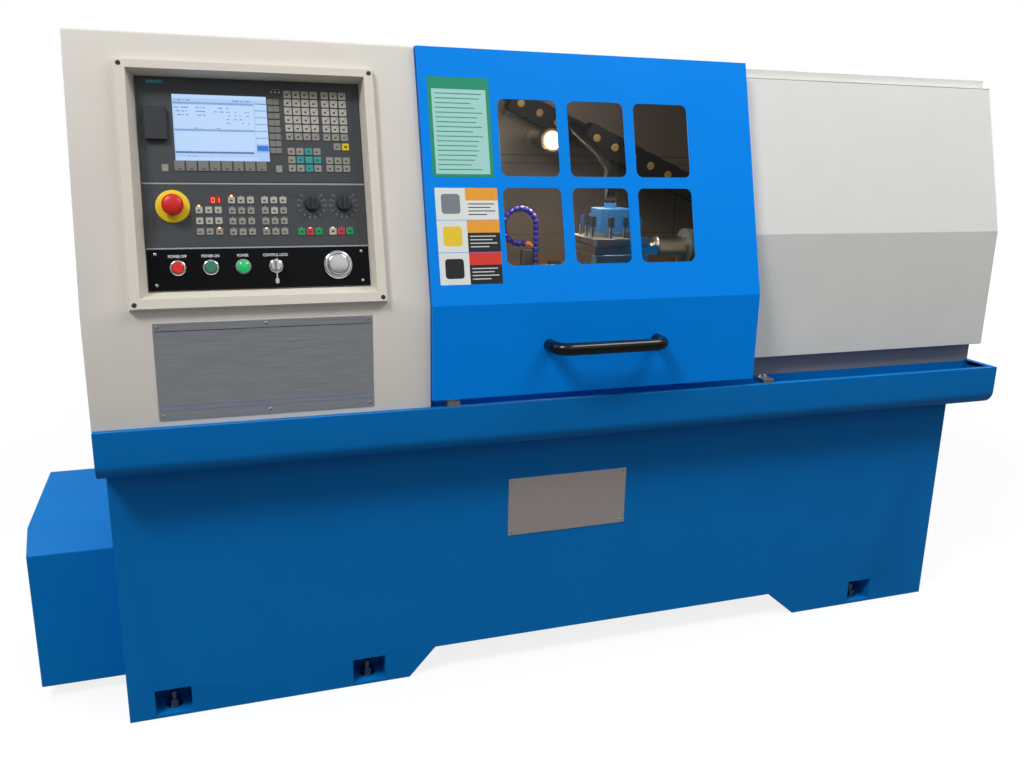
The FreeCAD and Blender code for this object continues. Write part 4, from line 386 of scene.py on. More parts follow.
# Inside the enclosure the enamel is dulled and clouded by oil mist and darkened with painted shade.
INNER_GREY_WITH_SHADE = finish("grey-brown enamel, oil-misted, darkened by painted shade", "#57504b", 0.34, grain_mm=3.0, grain=0.14, mottle=0.12,
                    mottle_mm=300.0)
LAMP_SHELL = finish("grey-brown enamel on the lamp's shell", "#4e4640", 0.45)
WALL_STAIN = finish("sheet under dried coolant and fine chips", "#7a5a3a", 0.42, mottle=0.4, mottle_mm=50.0)
SEAM = finish("shadowed sheet seam", "#221f1c", 0.8)
# Castings and housings: coarse sand-cast grain under paint, hammered or plain enamel.
CASTING = finish("painted iron casting", "#4c5960", 0.50, grain_mm=4.0, grain=0.35, vary=0.08, mottle=0.12)
MOTOR_GREY = finish("dark grey motor enamel", "#2f3236", 0.45, grain_mm=2.0, grain=0.1)
TANK_GREY = finish("grey hammered enamel", "#70757a", 0.4, grain_mm=6.0, grain=0.35)
# Moulded console plastic: fine spark texture that breaks the highlight, dark anthracite.
CONSOLE = finish("anthracite ABS, spark textured", "#43474b", 0.46, grain_mm=0.9, grain=0.10, ior=1.46)
CONSOLE_EDGE = finish("anthracite ABS, smooth edge", "#2c2f34", 0.35, ior=1.46)
FLAP_GREY = finish("dark ABS flap", "#33363a", 0.42, grain_mm=0.9, grain=0.08, ior=1.46)
# Pale strip raised into the gaps between the units: painted light standing in for the lit floor of the gaps.
GAP_PAINTED_LIGHT = finish("pale strip of painted light in the unit gaps", "#a5a7a8", 0.4)
FACE_BLACK = finish("black glossy sheet face", "#0a0b0e", 0.26, grain_mm=0.8, grain=0.05, sheen=0.12)
KEY_PALE = key_foil("pale grey", "#b9b5ab", 0.42)
KEY_GREY = key_foil("grey", "#98958c", 0.42)
KEY_DIM = key_foil("dark grey", "#7f7d78", 0.42)
KEY_YELLOW = key_foil("yellow", "#e8c81c")
KEY_TEAL = key_foil("teal", "#2f9c9a")
KEY_GREEN = key_foil("green", "#109a5c")
KEY_RED = key_foil("red", "#c83a46")
# Printed inks: dull, without grain.
LEGEND = finish("printed dark legend", "#33343a", 0.55)
MARK_WHITE = finish("printed white mark", "#dfe3e6", 0.55)
MARK_DIM = finish("grey printed mark", "#8d9093", 0.5)
LINE_BLUE = finish("dark blue screen-printed line", "#2b3f6e", 0.45)
BAND_BLUE = finish("blue-grey screen-printed band", "#7f8ba8", 0.45)
# Lit parts glow in their own colour, unlit ones stay clear.
LED_ON = finish("lit amber indicator", "#ffb060", 0.4, emission=3.0)
LED_OFF = finish("clear unlit indicator", "#c9ccc4", 0.3)
DIGIT_RED = finish("lit red digits", "#ff5a3c", 0.4, emission=2.2)
DIGIT_BACK = finish("deep red filter", "#7d1410", 0.15, emission=0.6)
GREEN_LIT = finish("lit green lens", "#12b060", 0.16, coat=0.5, emission=0.35, ior=1.58)
LAMP_WARM = finish("lit warm lens", "#fff0cc", 0.3, emission=3.0)
LAMP_RIM = finish("amber rim of the lit lens", "#ffb25a", 0.3, emission=1.1)
# Moulded plastics: polycarbonate caps are glassy, nylon and phenolic ones duller.
RED_PLASTIC = finish("red polycarbonate", "#e0231c", 0.24, coat=0.3, ior=1.58)
GREEN_DARK = finish("green polycarbonate", "#2e7d5e", 0.24, coat=0.3, ior=1.58)
ESTOP_RED = finish("red moulded nylon", "#d8201c", 0.34)
DISC_YELLOW = finish("yellow moulded disc", "#f2d210", 0.38)
KNOB_BLACK = finish("black phenolic knob", "#2b2e33", 0.40, grain_mm=0.8, grain=0.06)
NYLON_BLACK = finish("black glass-filled nylon", "#1b1b1d", 0.42, grain_mm=1.2, grain=0.1)
CHAIN_BLACK = finish("black polyamide chain links", "#0a0a0c", 0.50, grain_mm=1.2, grain=0.1, sheen=0.15)
HOSE_BLUE = finish("deep blue acetal segments", "#201e9c", 0.16, coat=0.6, ior=1.48)
NOZZLE_ORANGE = finish("orange acetal nozzle", "#ee8a2a", 0.28, ior=1.48)
RUBBER = finish("black neoprene", "#050506", 0.55, sheen=0.06)
HANDLE_BLACK = finish("gloss black lacquer on tube", "#08090b", 0.22, coat=0.3, sheen=0.3)
# Metals: plated ones are near mirrors, ground and brushed sheet draws the highlight out across its grain.
CHROME = finish("polished chrome plate", "#e4e6e8", 0.06, metallic=1.0)
SATIN_CHROME = finish("satin chrome plate", "#d2d4d6", 0.20, metallic=1.0)
STEEL = finish("ground steel", "#bcbdbe", 0.30, metallic=1.0, grain_mm=0.9, grain=0.05, stretch=(1, 0.05, 1),
               vary=0.05)
DARK_STEEL = finish("blackened tool steel", "#7c7d80", 0.30, metallic=1.0, grain_mm=1.5, grain=0.1)
BRUSHING = {"metallic": 1.0, "grain_mm": 0.7, "grain": 0.12, "stretch": (0.012, 1, 1), "vary": 0.09}
BRUSHED_WARM = finish("brushed stainless sheet, warm cast", "#e6dcd7", 0.52, **BRUSHING)
BRUSHED = finish("brushed stainless sheet", "#d6d9df", 0.44, **BRUSHING)
BRASS_STUD = finish("gold-toned cover stud", "#786232", 0.42, metallic=0.3)
SWARF = finish("straw-tinted steel swarf", "#b98a4c", 0.30, metallic=0.9)
LABEL_GREEN = vinyl("green", "#149470")
LABEL_MINT = vinyl("pale green", "#a8dcd4")
LABEL_PALE = vinyl("pale grey", "#d9dedd")
LABEL_GREY = vinyl("grey", "#7d838c")
LABEL_WHITE = vinyl("white", "#e6ece8")
LABEL_ORANGE = vinyl("orange", "#f4a52c")
LABEL_YELLOW = vinyl("yellow", "#f2cf2a")
LABEL_RED = vinyl("red", "#e23524")
LABEL_BLACK = vinyl("black", "#17181a")
SCREEN_SKY = lit_screen("ground", "#aed0fb", 0.92)
SCREEN_PALE = lit_screen("panel", "#bcd9fd", 0.95)
SCREEN_BAR = lit_screen("title bar", "#8aaede", 0.85)
SCREEN_DEEP = lit_screen("selected field", "#2f74dd", 0.9)
SCREEN_INK = lit_screen("dark rows", "#5a76a8", 0.8)
WINDOW = clear_sheet("clear polycarbonate sheet", "#e4e2dc", 1.22)

# ---- camera
# Place, turns and focal length are solved from the photograph's straight edges.
YAW, PITCH, ROLL = math.radians(19.02), math.radians(-14.72), math.radians(1.16)
forward = Vector((math.sin(YAW) * math.cos(PITCH), math.cos(YAW) * math.cos(PITCH), math.sin(PITCH)))
across = forward.cross(Vector((0, 0, 1))).normalized()
upward = across.cross(forward)
rolled_across = across * math.cos(ROLL) + upward * math.sin(ROLL)
rolled_up = -across * math.sin(ROLL) + upward * math.cos(ROLL)
camera = bpy.data.cameras.new("camera")
camera.sensor_width = 36.0
camera.lens = 32.27
camera.clip_start = 0.05
camera.clip_end = 60.0
eye = placed("camera", camera)
eye.matrix_world = Matrix.Translation(at(211.2, -1876.1, 1215.4)) @ Matrix(
    (rolled_across, rolled_up, -forward)).transposed().to_4x4()
bpy.context.scene.camera = eye
bpy.context.scene.view_settings.view_transform = "Standard"


# ---- floor, surroundings and lamps
def seen_by_eye(tree):
    """1 for rays that show the surroundings to the eye, straight or through a pane; 0 for lighting rays."""
    rays = add(tree, "LightPath").outputs
    seen = add(tree, "Math", {0: rays["Is Camera Ray"], 1: rays["Is Transmission Ray"]},
               operation="MAXIMUM")
    return seen.outputs[0]


def studio_floor():
    """Matte floor for the light; to the eye it glows, nearly white by the machine and white far out, where it
    meets the background."""
    material = bpy.data.materials.new("pale studio floor")
    tree = emptied(material)
    out = add(tree, "OutputMaterial")
    matte = add(tree, "BsdfDiffuse", {"Color": (0.18, 0.18, 0.18, 1.0)})
    place = add(tree, "TexCoord").outputs["Object"]
    away = add(tree, "VectorMath", {0: place}, operation="LENGTH").outputs["Value"]
    glow = spread_of(tree, away, 2.2, 6.5, 0.84, 1.0)
    lift = add(tree, "Emission", {"Color": (1, 1, 1, 1), "Strength": glow})
    pale = add(tree, "AddShader", {0: matte.outputs[0], 1: lift.outputs[0]})
    pick = add(tree, "MixShader", {0: seen_by_eye(tree), 1: matte.outputs[0], 2: pale.outputs[0]})
    tree.links.new(pick.outputs[0], out.inputs[0])
    return material


def studio_room():
    """Surroundings, white to the eye; for the light brightest overhead and dim near the floor, so that metals
    and gloss show a gradient."""
    world = bpy.data.worlds.new("studio")
    tree = emptied(world)
    out = add(tree, "OutputWorld")
    place = add(tree, "TexCoord").outputs["Generated"]
    height = add(tree, "SeparateXYZ", {0: place}).outputs[2]
    strength = spread_of(tree, height, -0.1, 0.7, 0.08, 0.46)
    room = add(tree, "Background", {"Color": (0.99, 0.99, 1.0, 1.0), "Strength": strength})
    white = add(tree, "Background", {"Color": (1, 1, 1, 1), "Strength": 1.0})
    pick = add(tree, "MixShader", {0: seen_by_eye(tree), 1: room.outputs[0], 2: white.outputs[0]})
    tree.links.new(pick.outputs[0], out.inputs[0])
    return world


FLOOR_REACH = 14.0
floor_points = np.array([(-1.0, -1.0, 0), (1.0, -1.0, 0), (1.0, 1.0, 0), (-1.0, 1.0, 0)]) * FLOOR_REACH
piece("floor", [(floor_points, [np.array([[0, 1, 2, 3]])], studio_floor())], None, stage=True)
bpy.context.scene.world = studio_room()


def softbox(name, place, aim, width, height, watts, colour=(1.0, 1.0, 1.0)):
    """Rectangular studio lamp aimed at a point; places and sizes in metres."""
    light = bpy.data.lights.new(name, "AREA")
    light.shape = "RECTANGLE"
    light.size = width
    light.size_y = height
    light.energy = watts
    light.color = colour
    lamp = placed(name, light)
    aim_line = Vector(aim) - Vector(place)
    lamp.matrix_world = Matrix.Translation(place) @ aim_line.to_track_quat("-Z", "Y").to_matrix().to_4x4()
    return lamp


softbox("key softbox", (-3.5, -2.9, 5.8), (0.1, -0.4, 0.7), 1.5, 1.5, 205.0)
softbox("front softbox", (0.6, -4.1, 2.9), (0.4, 0.0, 0.8), 2.8, 1.6, 7.0)
softbox("top softbox", (1.9, -1.30, 3.9), (1.1, -0.3, 0.9), 2.6, 0.9, 70.0)
softbox("left softbox", (-2.3, 0.15, 2.3), (-1.08, -0.05, 0.3), 0.9, 0.9, 14.0)

# ---- finishes on the machine's pieces
# Finish and width of the softened edges in millimetres; a piece with none keeps its CAD mesh.
FINISHES = {
    # The levelling bolts take the blackened steel partly as painted shade of the pockets they stand in.
    "base_stand": (ENAMEL_BLUE, 2.0), "levelling_bolts": (DARK_STEEL, 0.4), "chip_tray": (ENAMEL_BLUE, 0.8),
    "drive_cover": (DRIVE_BLUE, 2.0), "headstock_cabinet": (CABINET_CREAM, 1.5),
    "tail_cover": (COVER_WHITE, 1.5), "rear_guard": (INNER_GREY_WITH_SHADE, 0.6), "tail_skirt": (SKIRT_GREY, 1.0),
    "door_guides": (STEEL, 0.4), "console_bezel": (BEZEL_WHITE, 1.6), "display_unit": (CONSOLE, 1.2),
    "display_screen": (SCREEN_SKY, 0.0), "port_flap": (FLAP_GREY, 0.8), "control_panel": (CONSOLE, 1.2),
    "button_plate": (FACE_BLACK, 0.6), "electrical_cabinet": (CABINET_CREAM, 1.5),
    "electrical_door": (CABINET_CREAM, 1.5), "main_switch": (ESTOP_RED, 0.8), "lathe_bed": (CASTING, 1.2),
    "headstock": (CASTING, 2.0), "spindle": (STEEL, 0.5), "chuck_body": (STEEL, 0.8),
    "chuck_jaw_1": (DARK_STEEL, 0.5), "chuck_jaw_2": (DARK_STEEL, 0.5), "chuck_jaw_3": (DARK_STEEL, 0.5),
    "spindle_motor": (MOTOR_GREY, 1.5), "motor_pulley": (STEEL, 0.5), "drive_belt": (RUBBER, 0.8),
    "z_drive": (MOTOR_GREY, 1.0), "z_screw": (STEEL, 0.3), "saddle": (CASTING, 1.2),
    "cross_slide": (CASTING, 1.0), "x_screw": (STEEL, 0.3), "x_servo": (MOTOR_GREY, 1.2),
    "turret_base": (CASTING, 1.0), "tool_block": (STEEL, 1.0), "cutting_tools": (SATIN_CHROME, 0.3),
    "turret_cap": (TURRET_BLUE, 1.6), "tailstock": (CASTING, 2.5), "tail_quill": (STEEL, 0.5),
    "live_centre": (STEEL, 0.3), "tail_handwheel": (SATIN_CHROME, 1.0), "tail_clamp_lever": (KNOB_BLACK, 0.5),
    "coolant_tank": (TANK_GREY, 1.2), "work_lamp": (LAMP_SHELL, 1.0), "drag_chain": (CHAIN_BLACK, 1.0),
    "sliding_door": (DOOR_BLUE, 1.0), "door_windows": (WINDOW, 0.0), "door_handle": (HANDLE_BLACK, 0.6),
    "e_stop": (ESTOP_RED, 1.4), "stop_button": (RED_PLASTIC, 0.6), "start_button": (GREEN_DARK, 0.6),
    "key_switch": (SATIN_CHROME, 0.3), "spindle_knob": (KNOB_BLACK, 0.7), "feed_knob": (KNOB_BLACK, 0.7),
}
WELD = 2e-6             # vertices closer than this, in metres, are one


def merged_copy(node_name, material, width_mm):
    """Merged copy of a CAD piece with softened edges, in the piece's place."""
    source = NODES[node_name]
    mesh = source.data.copy()
    mesh.name = node_name + "_edged"
    mesh.transform(source.matrix_world)
    work = bmesh.new()
    work.from_mesh(mesh)
    bmesh.ops.remove_doubles(work, verts=work.verts, dist=WELD)
    flat = [e for e in work.edges if len(e.link_faces) == 2 and e.calc_face_angle() < FLAT_TURN]
    bmesh.ops.dissolve_edges(work, edges=flat, use_verts=False, use_face_split=False)
    work.to_mesh(mesh)
    work.free()
    mesh.materials.clear()
    mesh.materials.append(material)
    if "sharp_face" in mesh.attributes:
        mesh.attributes.remove(mesh.attributes["sharp_face"])
    mesh.polygons.foreach_set("material_index", np.zeros(len(mesh.polygons), np.int32))
    mesh.polygons.foreach_set("use_smooth", np.ones(len(mesh.polygons), bool))
    mesh.set_sharp_from_angle(angle=EDGE_TURN)
    copy = placed(mesh.name, mesh)
    soften(copy, width_mm)
    if node_name != "drag_chain":
        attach(copy, BODY_OF[node_name])
    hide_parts(node_name)
    return copy


EDGED = {}
for node_name, (material, width_mm) in FINISHES.items():
    if width_mm:
        EDGED[node_name] = merged_copy(node_name, material, width_mm)
    else:
        NODES[node_name].data.materials.clear()
        NODES[node_name].data.materials.append(material)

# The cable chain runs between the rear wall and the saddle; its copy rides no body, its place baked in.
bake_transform(EDGED["drag_chain"])


def face_places(node_name):
    """Mesh of an edged copy, its faces' normals, and how far their middles lie from the box's low and high
    corners in metres."""
    mesh = EDGED[node_name].data
    centres, normals = np.zeros(len(mesh.polygons) * 3), np.zeros(len(mesh.polygons) * 3)
    mesh.polygons.foreach_get("center", centres)
    mesh.polygons.foreach_get("normal", normals)
    centres, normals = centres.reshape(-1, 3), normals.reshape(-1, 3)
    low, high = (np.array(corner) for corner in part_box(node_name))
    return mesh, normals, centres - low, high - centres


def paint_faces(mesh, material, chosen):
    """Second finish on the chosen faces of a mesh."""
    mesh.materials.append(material)
    mesh.polygons.foreach_set("material_index", chosen.astype(np.int32))
    mesh.update()


# The rear guard is white outside and grey-brown inside. Its outside faces lie on its back, roof, end and
# front lips; the door's rail stands on the roof. Depths are in metres from the guard's box.
FOLD = 0.006            # a face nearer to the box's side than this lies on it
ROOF_DEPTH = 0.04
ROOF_LIP = 0.25
RAIL_HEIGHT = 0.018
RAIL_DEPTH = 0.05
guard, facing, past_low, below_high = face_places("rear_guard")
at_roof = below_high[:, 2] < ROOF_DEPTH
outside = (below_high[:, 0] < FOLD) & (facing[:, 0] > 0.5)
outside |= (below_high[:, 1] < FOLD) & (facing[:, 1] > 0.5)
outside |= (past_low[:, 1] < FOLD) & (facing[:, 1] < -0.5)
outside |= at_roof & (facing[:, 2] > 0.5)
outside |= at_roof & (facing[:, 1] < -0.5) & (past_low[:, 1] < ROOF_LIP)
outside |= (below_high[:, 2] < RAIL_HEIGHT) & (past_low[:, 1] < RAIL_DEPTH)
paint_faces(guard, COVER_WHITE, outside)

# The drives and the transformer on the electrical cabinet's mounting plate are dark. Depths are in metres
# from the cabinet's box.
BESIDE_DRIVES = 0.06
PLATE_BACK = 0.0155
DRIVES_FRONT = 0.03
drives, facing, past_low, below_high = face_places("electrical_cabinet")
inner = (past_low[:, [0, 2]] > BESIDE_DRIVES).all(axis=1)
inner &= (below_high[:, [0, 2]] > BESIDE_DRIVES).all(axis=1)
paint_faces(drives, CONSOLE, inner & (past_low[:, 1] > PLATE_BACK) & (below_high[:, 1] > DRIVES_FRONT))

# ---- console
# Places on the console are (u right, v up the lean) from the knee; heights are measured out from the lean.
UNIT_LEFT = 119.6
UNIT_WIDTH = 420.0
DISPLAY_TOP = 455.7
PANEL_TOP = 251.7
FACE = -24.4            # front of the two units
PLATE = -25.4           # front of the black plate
KEY_HEIGHT = 1.6
KEY_TOP = FACE + KEY_HEIGHT
KEY_RISE = [(0.0, 0.0), (0.0, 1.0), (0.25, 1.4), (0.7, KEY_HEIGHT), (1.4, KEY_HEIGHT)]
PRINT = 0.05


def on_display(right, down):
    """Place given from the display unit's upper left corner."""
    return UNIT_LEFT + right, DISPLAY_TOP - down


def on_panel(right, down):
    """Place given from the control panel's upper left corner."""
    return UNIT_LEFT + right, PANEL_TOP - down


def key_block(corner, columns, rows, pitch, size):
    """Centres of a block of keys from its upper left corner."""
    i = np.tile(np.arange(columns), rows)
    j = np.repeat(np.arange(rows), columns)
    return np.stack([corner[0] + size[0] / 2 + pitch[0] * i, corner[1] - size[1] / 2 - pitch[1] * j], -1)


def raised(centres, size, material, base=FACE, rise=KEY_RISE, radius=1.4, face=leaning):
    """Rounded keys or plates standing on a face; rise is (inset, height over the base)."""
    points, faces = slabs(centres, (size[0] / 2, size[1] / 2), radius, [(a, base + h) for a, h in rise])
    return face(points), faces, material


def printed(centres, size, material, base=FACE, radius=0.15, thick=PRINT, face=leaning, corner=3):
    """Thin printed fields lying on a face."""
    points, faces = slabs(centres, (size[0] / 2, size[1] / 2), radius, [(0, base), (0, base + thick)], corner)
    return face(points), faces, material


LETTER_KEY, LOW_KEY, EDIT_KEY, SMALL_KEY = (14.6, 14.4), (14, 14), (14, 13), (12, 14)
BELOW_KEY, SIDE_KEY, MODE_KEY, DRIVE_KEY = (19, 20), (22, 11.6), (13, 13), (14.2, 14.2)
letter_keys = np.vstack([key_block(on_display(271.5, 18), 4, 5, (17.0, 16.7), LETTER_KEY),
                         key_block(on_display(344.5, 18), 3, 5, (17.4, 16.7), LETTER_KEY)])
low_keys = np.vstack([key_block(on_display(271.5, 101.5), 4, 1, (17.0, 0), LETTER_KEY),
                      key_block(on_display(344.5, 101.5), 3, 1, (17.4, 0), LETTER_KEY),
                      key_block(on_display(364, 120.5), 1, 1, (0, 0), LOW_KEY)])
cursor_block = key_block(on_display(273, 131), 4, 3, (16.7, 16.7), LOW_KEY)
cross = np.array([2, 5, 6, 7, 10])
arrow_keys, cross_middle = cursor_block[[2, 5, 7, 10]], cursor_block[[6]]
plain_cursor = np.delete(cursor_block, cross, axis=0)
edit_keys = key_block(on_display(347, 149), 3, 2, (16.7, 15.5), EDIT_KEY)
soft_below = key_block(on_display(60, 158.5), 8, 1, (21.7, 0), BELOW_KEY)
soft_side = key_block(on_display(240, 35.5), 1, 8, (0, 13.7), SIDE_KEY)
small_pair = [on_display(43.5, 173), on_display(254.5, 173)]
yellow_key = [on_display(387.5, 127.5)]
group_a = key_block(on_panel(93, 43), 3, 3, (17.6, 20.8), MODE_KEY)
group_b = key_block(on_panel(154, 24), 3, 4, (17.6, 20.6), MODE_KEY)
group_c = key_block(on_panel(216, 24), 3, 4, (17.6, 20.6), MODE_KEY)
spindle_keys = key_block(on_panel(283, 86), 3, 1, (16.8, 0), DRIVE_KEY)
feed_keys = key_block(on_panel(344.5, 86), 3, 1, (16.8, 0), DRIVE_KEY)
pale_mode = np.vstack([group_a[:6], group_b[:3], group_c[:3], group_c[4:5]])
grey_mode = np.vstack([group_a[6:], group_b[3:], group_c[3:4], group_c[5:]])
# Small dark legend on each key: one wide mark, and on the letter keys a smaller one at the corner.
marked = np.vstack([letter_keys, low_keys, plain_cursor, edit_keys, pale_mode, grey_mode])
offset_mark = np.vstack([letter_keys, low_keys]) + (3.6, 3.2)
piece("keys", [
    raised(letter_keys, LETTER_KEY, KEY_PALE),
    raised(np.vstack([low_keys, plain_cursor, edit_keys]), LOW_KEY, KEY_GREY),
    raised(small_pair, SMALL_KEY, KEY_GREY),
    raised(soft_below, BELOW_KEY, KEY_DIM),
    raised(soft_side, SIDE_KEY, KEY_DIM),
    raised(cursor_block[cross], LOW_KEY, KEY_TEAL),
    raised(yellow_key, LOW_KEY, KEY_YELLOW),
    raised(pale_mode, MODE_KEY, KEY_PALE),
    raised(grey_mode, MODE_KEY, KEY_GREY),
    raised(np.vstack([spindle_keys[[0, 2]], feed_keys[[2]]]), DRIVE_KEY, KEY_GREEN),
    raised(np.vstack([spindle_keys[[1]], feed_keys[[1]]]), DRIVE_KEY, KEY_RED),
    raised(feed_keys[[0]], DRIVE_KEY, KEY_PALE),
    printed(marked + (-0.6, -0.8), (4.6, 3.4), LEGEND, KEY_TOP),
    printed(offset_mark, (2.0, 1.8), LEGEND, KEY_TOP),
    printed(soft_below + (0, -6.0), (5.0, 2.6), LEGEND, KEY_TOP),
    printed(soft_side, (0.8, 10.6), CONSOLE_EDGE, KEY_TOP),
    printed(np.vstack([yellow_key, spindle_keys, feed_keys]), (5.2, 3.8), LEGEND, KEY_TOP),
    printed(cross_middle, (4.0, 4.0), KEY_TEAL, KEY_TOP),
], "machine", ["console_keys"])

# Arrowheads on the cursor keys: triangles pointing up, left, right and down.
arrow_angles = np.array([math.pi / 2, math.pi, 0.0, -math.pi / 2])
reach = np.stack([np.cos(arrow_angles), np.sin(arrow_angles)], -1)
spin = np.stack([-reach[:, 1], reach[:, 0]], -1)
corners = np.stack([reach * 3.4, spin * 2.9 - reach * 1.9, -spin * 2.9 - reach * 1.9], 1)
corners = np.concatenate([corners + arrow_keys[:, None], np.full((4, 3, 1), KEY_TOP)], -1)
arrows = np.concatenate([corners, corners + (0, 0, PRINT)], 1)
piece("cursor_arrows", [(leaning(arrows.reshape(-1, 3)), closed_faces(2, 3, 4), LEGEND)], "machine")

# Indicators over the keys: a few are lit.
lit = np.array([group_a[0], group_a[8], group_b[0], group_c[9], spindle_keys[1], feed_keys[0]])
lit[:, 1] += (8.6, 6.8, 8.8, 6.8, 7.0, 7.4)
unlit = np.vstack([group_b[1:], group_c[:9], group_c[10:], spindle_keys[[0, 2]], feed_keys[1:]]) + (0, 8.4)
piece("indicators", [
    raised(lit, (4.4, 2.6), LED_ON, rise=[(0, 0), (0, 0.5), (0.3, 0.9)], radius=0.7),
    raised(unlit, (2.0, 1.2), LED_OFF, rise=[(0, 0), (0, 0.12)], radius=0.3),
], "machine")

NUMBER_U, NUMBER_V, DIGIT_STEP = 250.0, 221.5, 8.8
DIGIT_WIDTH, DIGIT_HEIGHT, BAR_WIDTH = 5.0, 9.0, 1.3
FILTER_HEIGHT = 0.5
FILTER_FRONT = FACE + FILTER_HEIGHT


def digit(place, level_bars, standing_bars):
    """Lit bars of the left (-1) or right (1) digit; level bars by height, upright ones by side and height."""
    u = NUMBER_U + place * DIGIT_STEP / 2
    standing = [(u + side * DIGIT_WIDTH / 2, NUMBER_V + up * DIGIT_HEIGHT / 4) for side, up in standing_bars]
    bars = [printed(standing, (BAR_WIDTH, DIGIT_HEIGHT / 2 - 0.6), DIGIT_RED, FILTER_FRONT, 0.2)]
    if level_bars:
        level = [(u, NUMBER_V + up * DIGIT_HEIGHT / 2) for up in level_bars]
        bars.append(printed(level, (DIGIT_WIDTH - 0.9, BAR_WIDTH), DIGIT_RED, FILTER_FRONT, 0.2))
    return bars


FILTER_RISE = [(0, 0), (0, FILTER_HEIGHT)]
number_back = raised((NUMBER_U, NUMBER_V), (21, 14), DIGIT_BACK, rise=FILTER_RISE, radius=0.8)
zero = digit(-1, (1, -1), ((-1, 1), (1, 1), (-1, -1), (1, -1)))
one = digit(1, (), ((1, 1), (1, -1)))
piece("tool_number", [number_back] + zero + one, "machine")

# Screen picture: title bar, rows of short marks, table lines, soft labels at the right and a status bar.
SCREEN_LEFT, SCREEN_TOP = 182.6, 424.7
GLASS = -24.66
MARK_STEP = 2.6
LABEL_PITCH = 13.4
STATUS_PITCH = 22.0
noise = np.random.default_rng(7)


def on_screen(x0, x1, y0, y1, material, level=1):
    """Field of the screen picture given from its upper left corner."""
    middle = (SCREEN_LEFT + (x0 + x1) / 2, SCREEN_TOP - (y0 + y1) / 2)
    return printed(middle, (x1 - x0, y1 - y0), material, GLASS, 0.05, 0.02 * level, corner=2)


def rows_of_marks(x0, x1, y0, rows, pitch, fill, high=1.9):
    """Rows of short dark marks such as lines of program text, from a seeded draw."""
    columns = int((x1 - x0) / MARK_STEP)
    keep = noise.random((rows, columns)) < fill
    j, i = np.nonzero(keep)
    centres = np.stack([SCREEN_LEFT + x0 + MARK_STEP * (i + 0.5), SCREEN_TOP - y0 - pitch * (j + 0.5)], -1)
    return printed(centres, (2.0, high), SCREEN_INK, GLASS, 0.05, 0.06, corner=2)


picture = [
    on_screen(0.8, 173.6, 0.8, 7.0, SCREEN_PALE),
    on_screen(0.8, 150.0, 14.5, 18.5, SCREEN_BAR), on_screen(0.8, 150.0, 66.5, 70.0, SCREEN_BAR),
    on_screen(2.0, 149.0, 19.5, 65.5, SCREEN_PALE), on_screen(2.0, 149.0, 71.0, 108.0, SCREEN_PALE),
    on_screen(1.0, 146.0, 109.5, 112.8, SCREEN_INK),
    rows_of_marks(4, 34, 8.5, 1, 5, 0.8), rows_of_marks(110, 146, 8.5, 1, 5, 0.9),
    rows_of_marks(3, 30, 21.5, 3, 7.2, 0.55), rows_of_marks(42, 62, 21.5, 3, 7.2, 0.8),
    rows_of_marks(76, 96, 21.5, 2, 7.2, 0.6), rows_of_marks(98, 106, 21.5, 5, 7.2, 0.7, 1.5),
    rows_of_marks(112, 144, 28.5, 4, 7.2, 0.35), rows_of_marks(38, 52, 63.0, 1, 3, 0.9, 1.4),
    rows_of_marks(78, 88, 63.0, 1, 3, 0.8, 1.4), rows_of_marks(24, 40, 117.5, 1, 4, 0.5, 1.4),
]
for k in range(8):
    line_ink = SCREEN_BAR if k else SCREEN_INK
    picture.append(on_screen(151.5, 174.0, 14.0 + LABEL_PITCH * k, 15.6 + LABEL_PITCH * k, line_ink, 2))
for k in range(7):
    cell = SCREEN_DEEP if k == 6 else SCREEN_PALE
    picture.append(on_screen(152.0, 174.0, 16.2 + LABEL_PITCH * k, 26.6 + LABEL_PITCH * k, cell))
for k in range(7):
    picture.append(on_screen(STATUS_PITCH * k + 1.0, STATUS_PITCH * k + 21.5, 120.5, 126.2, SCREEN_PALE))
piece("screen_picture", picture, "machine")

# Printed marks of the two units: side lines, a bare teal field, three status lights, and pale strips above
# and below the panel, painted light in the gaps between the units.
status_lights = [on_display(248.5, 21.5), on_display(256, 21.5), on_display(263.5, 21.5)]
unit_gaps = [on_panel(UNIT_WIDTH / 2, -2.0), on_panel(UNIT_WIDTH / 2, 122.0)]
piece("unit_marks", [
    printed([on_display(12.5, 100), on_display(408, 100)], (0.7, 192), CONSOLE_EDGE),
    printed([on_panel(17.5, 60), on_panel(402, 60)], (0.7, 112), CONSOLE_EDGE),
    printed(on_display(34, 8.5), (30, 6.4), KEY_TEAL, radius=0.6),
    printed(on_display(256, 16.0), (20, 0.7), MARK_DIM),
    raised(status_lights, (3.4, 2.8), LED_OFF, rise=[(0, 0), (0, 0.3)], radius=0.6),
    printed(unit_gaps, (UNIT_WIDTH, 3.0), GAP_PAINTED_LIGHT, FACE - 3.0, thick=2.2),
], "machine")

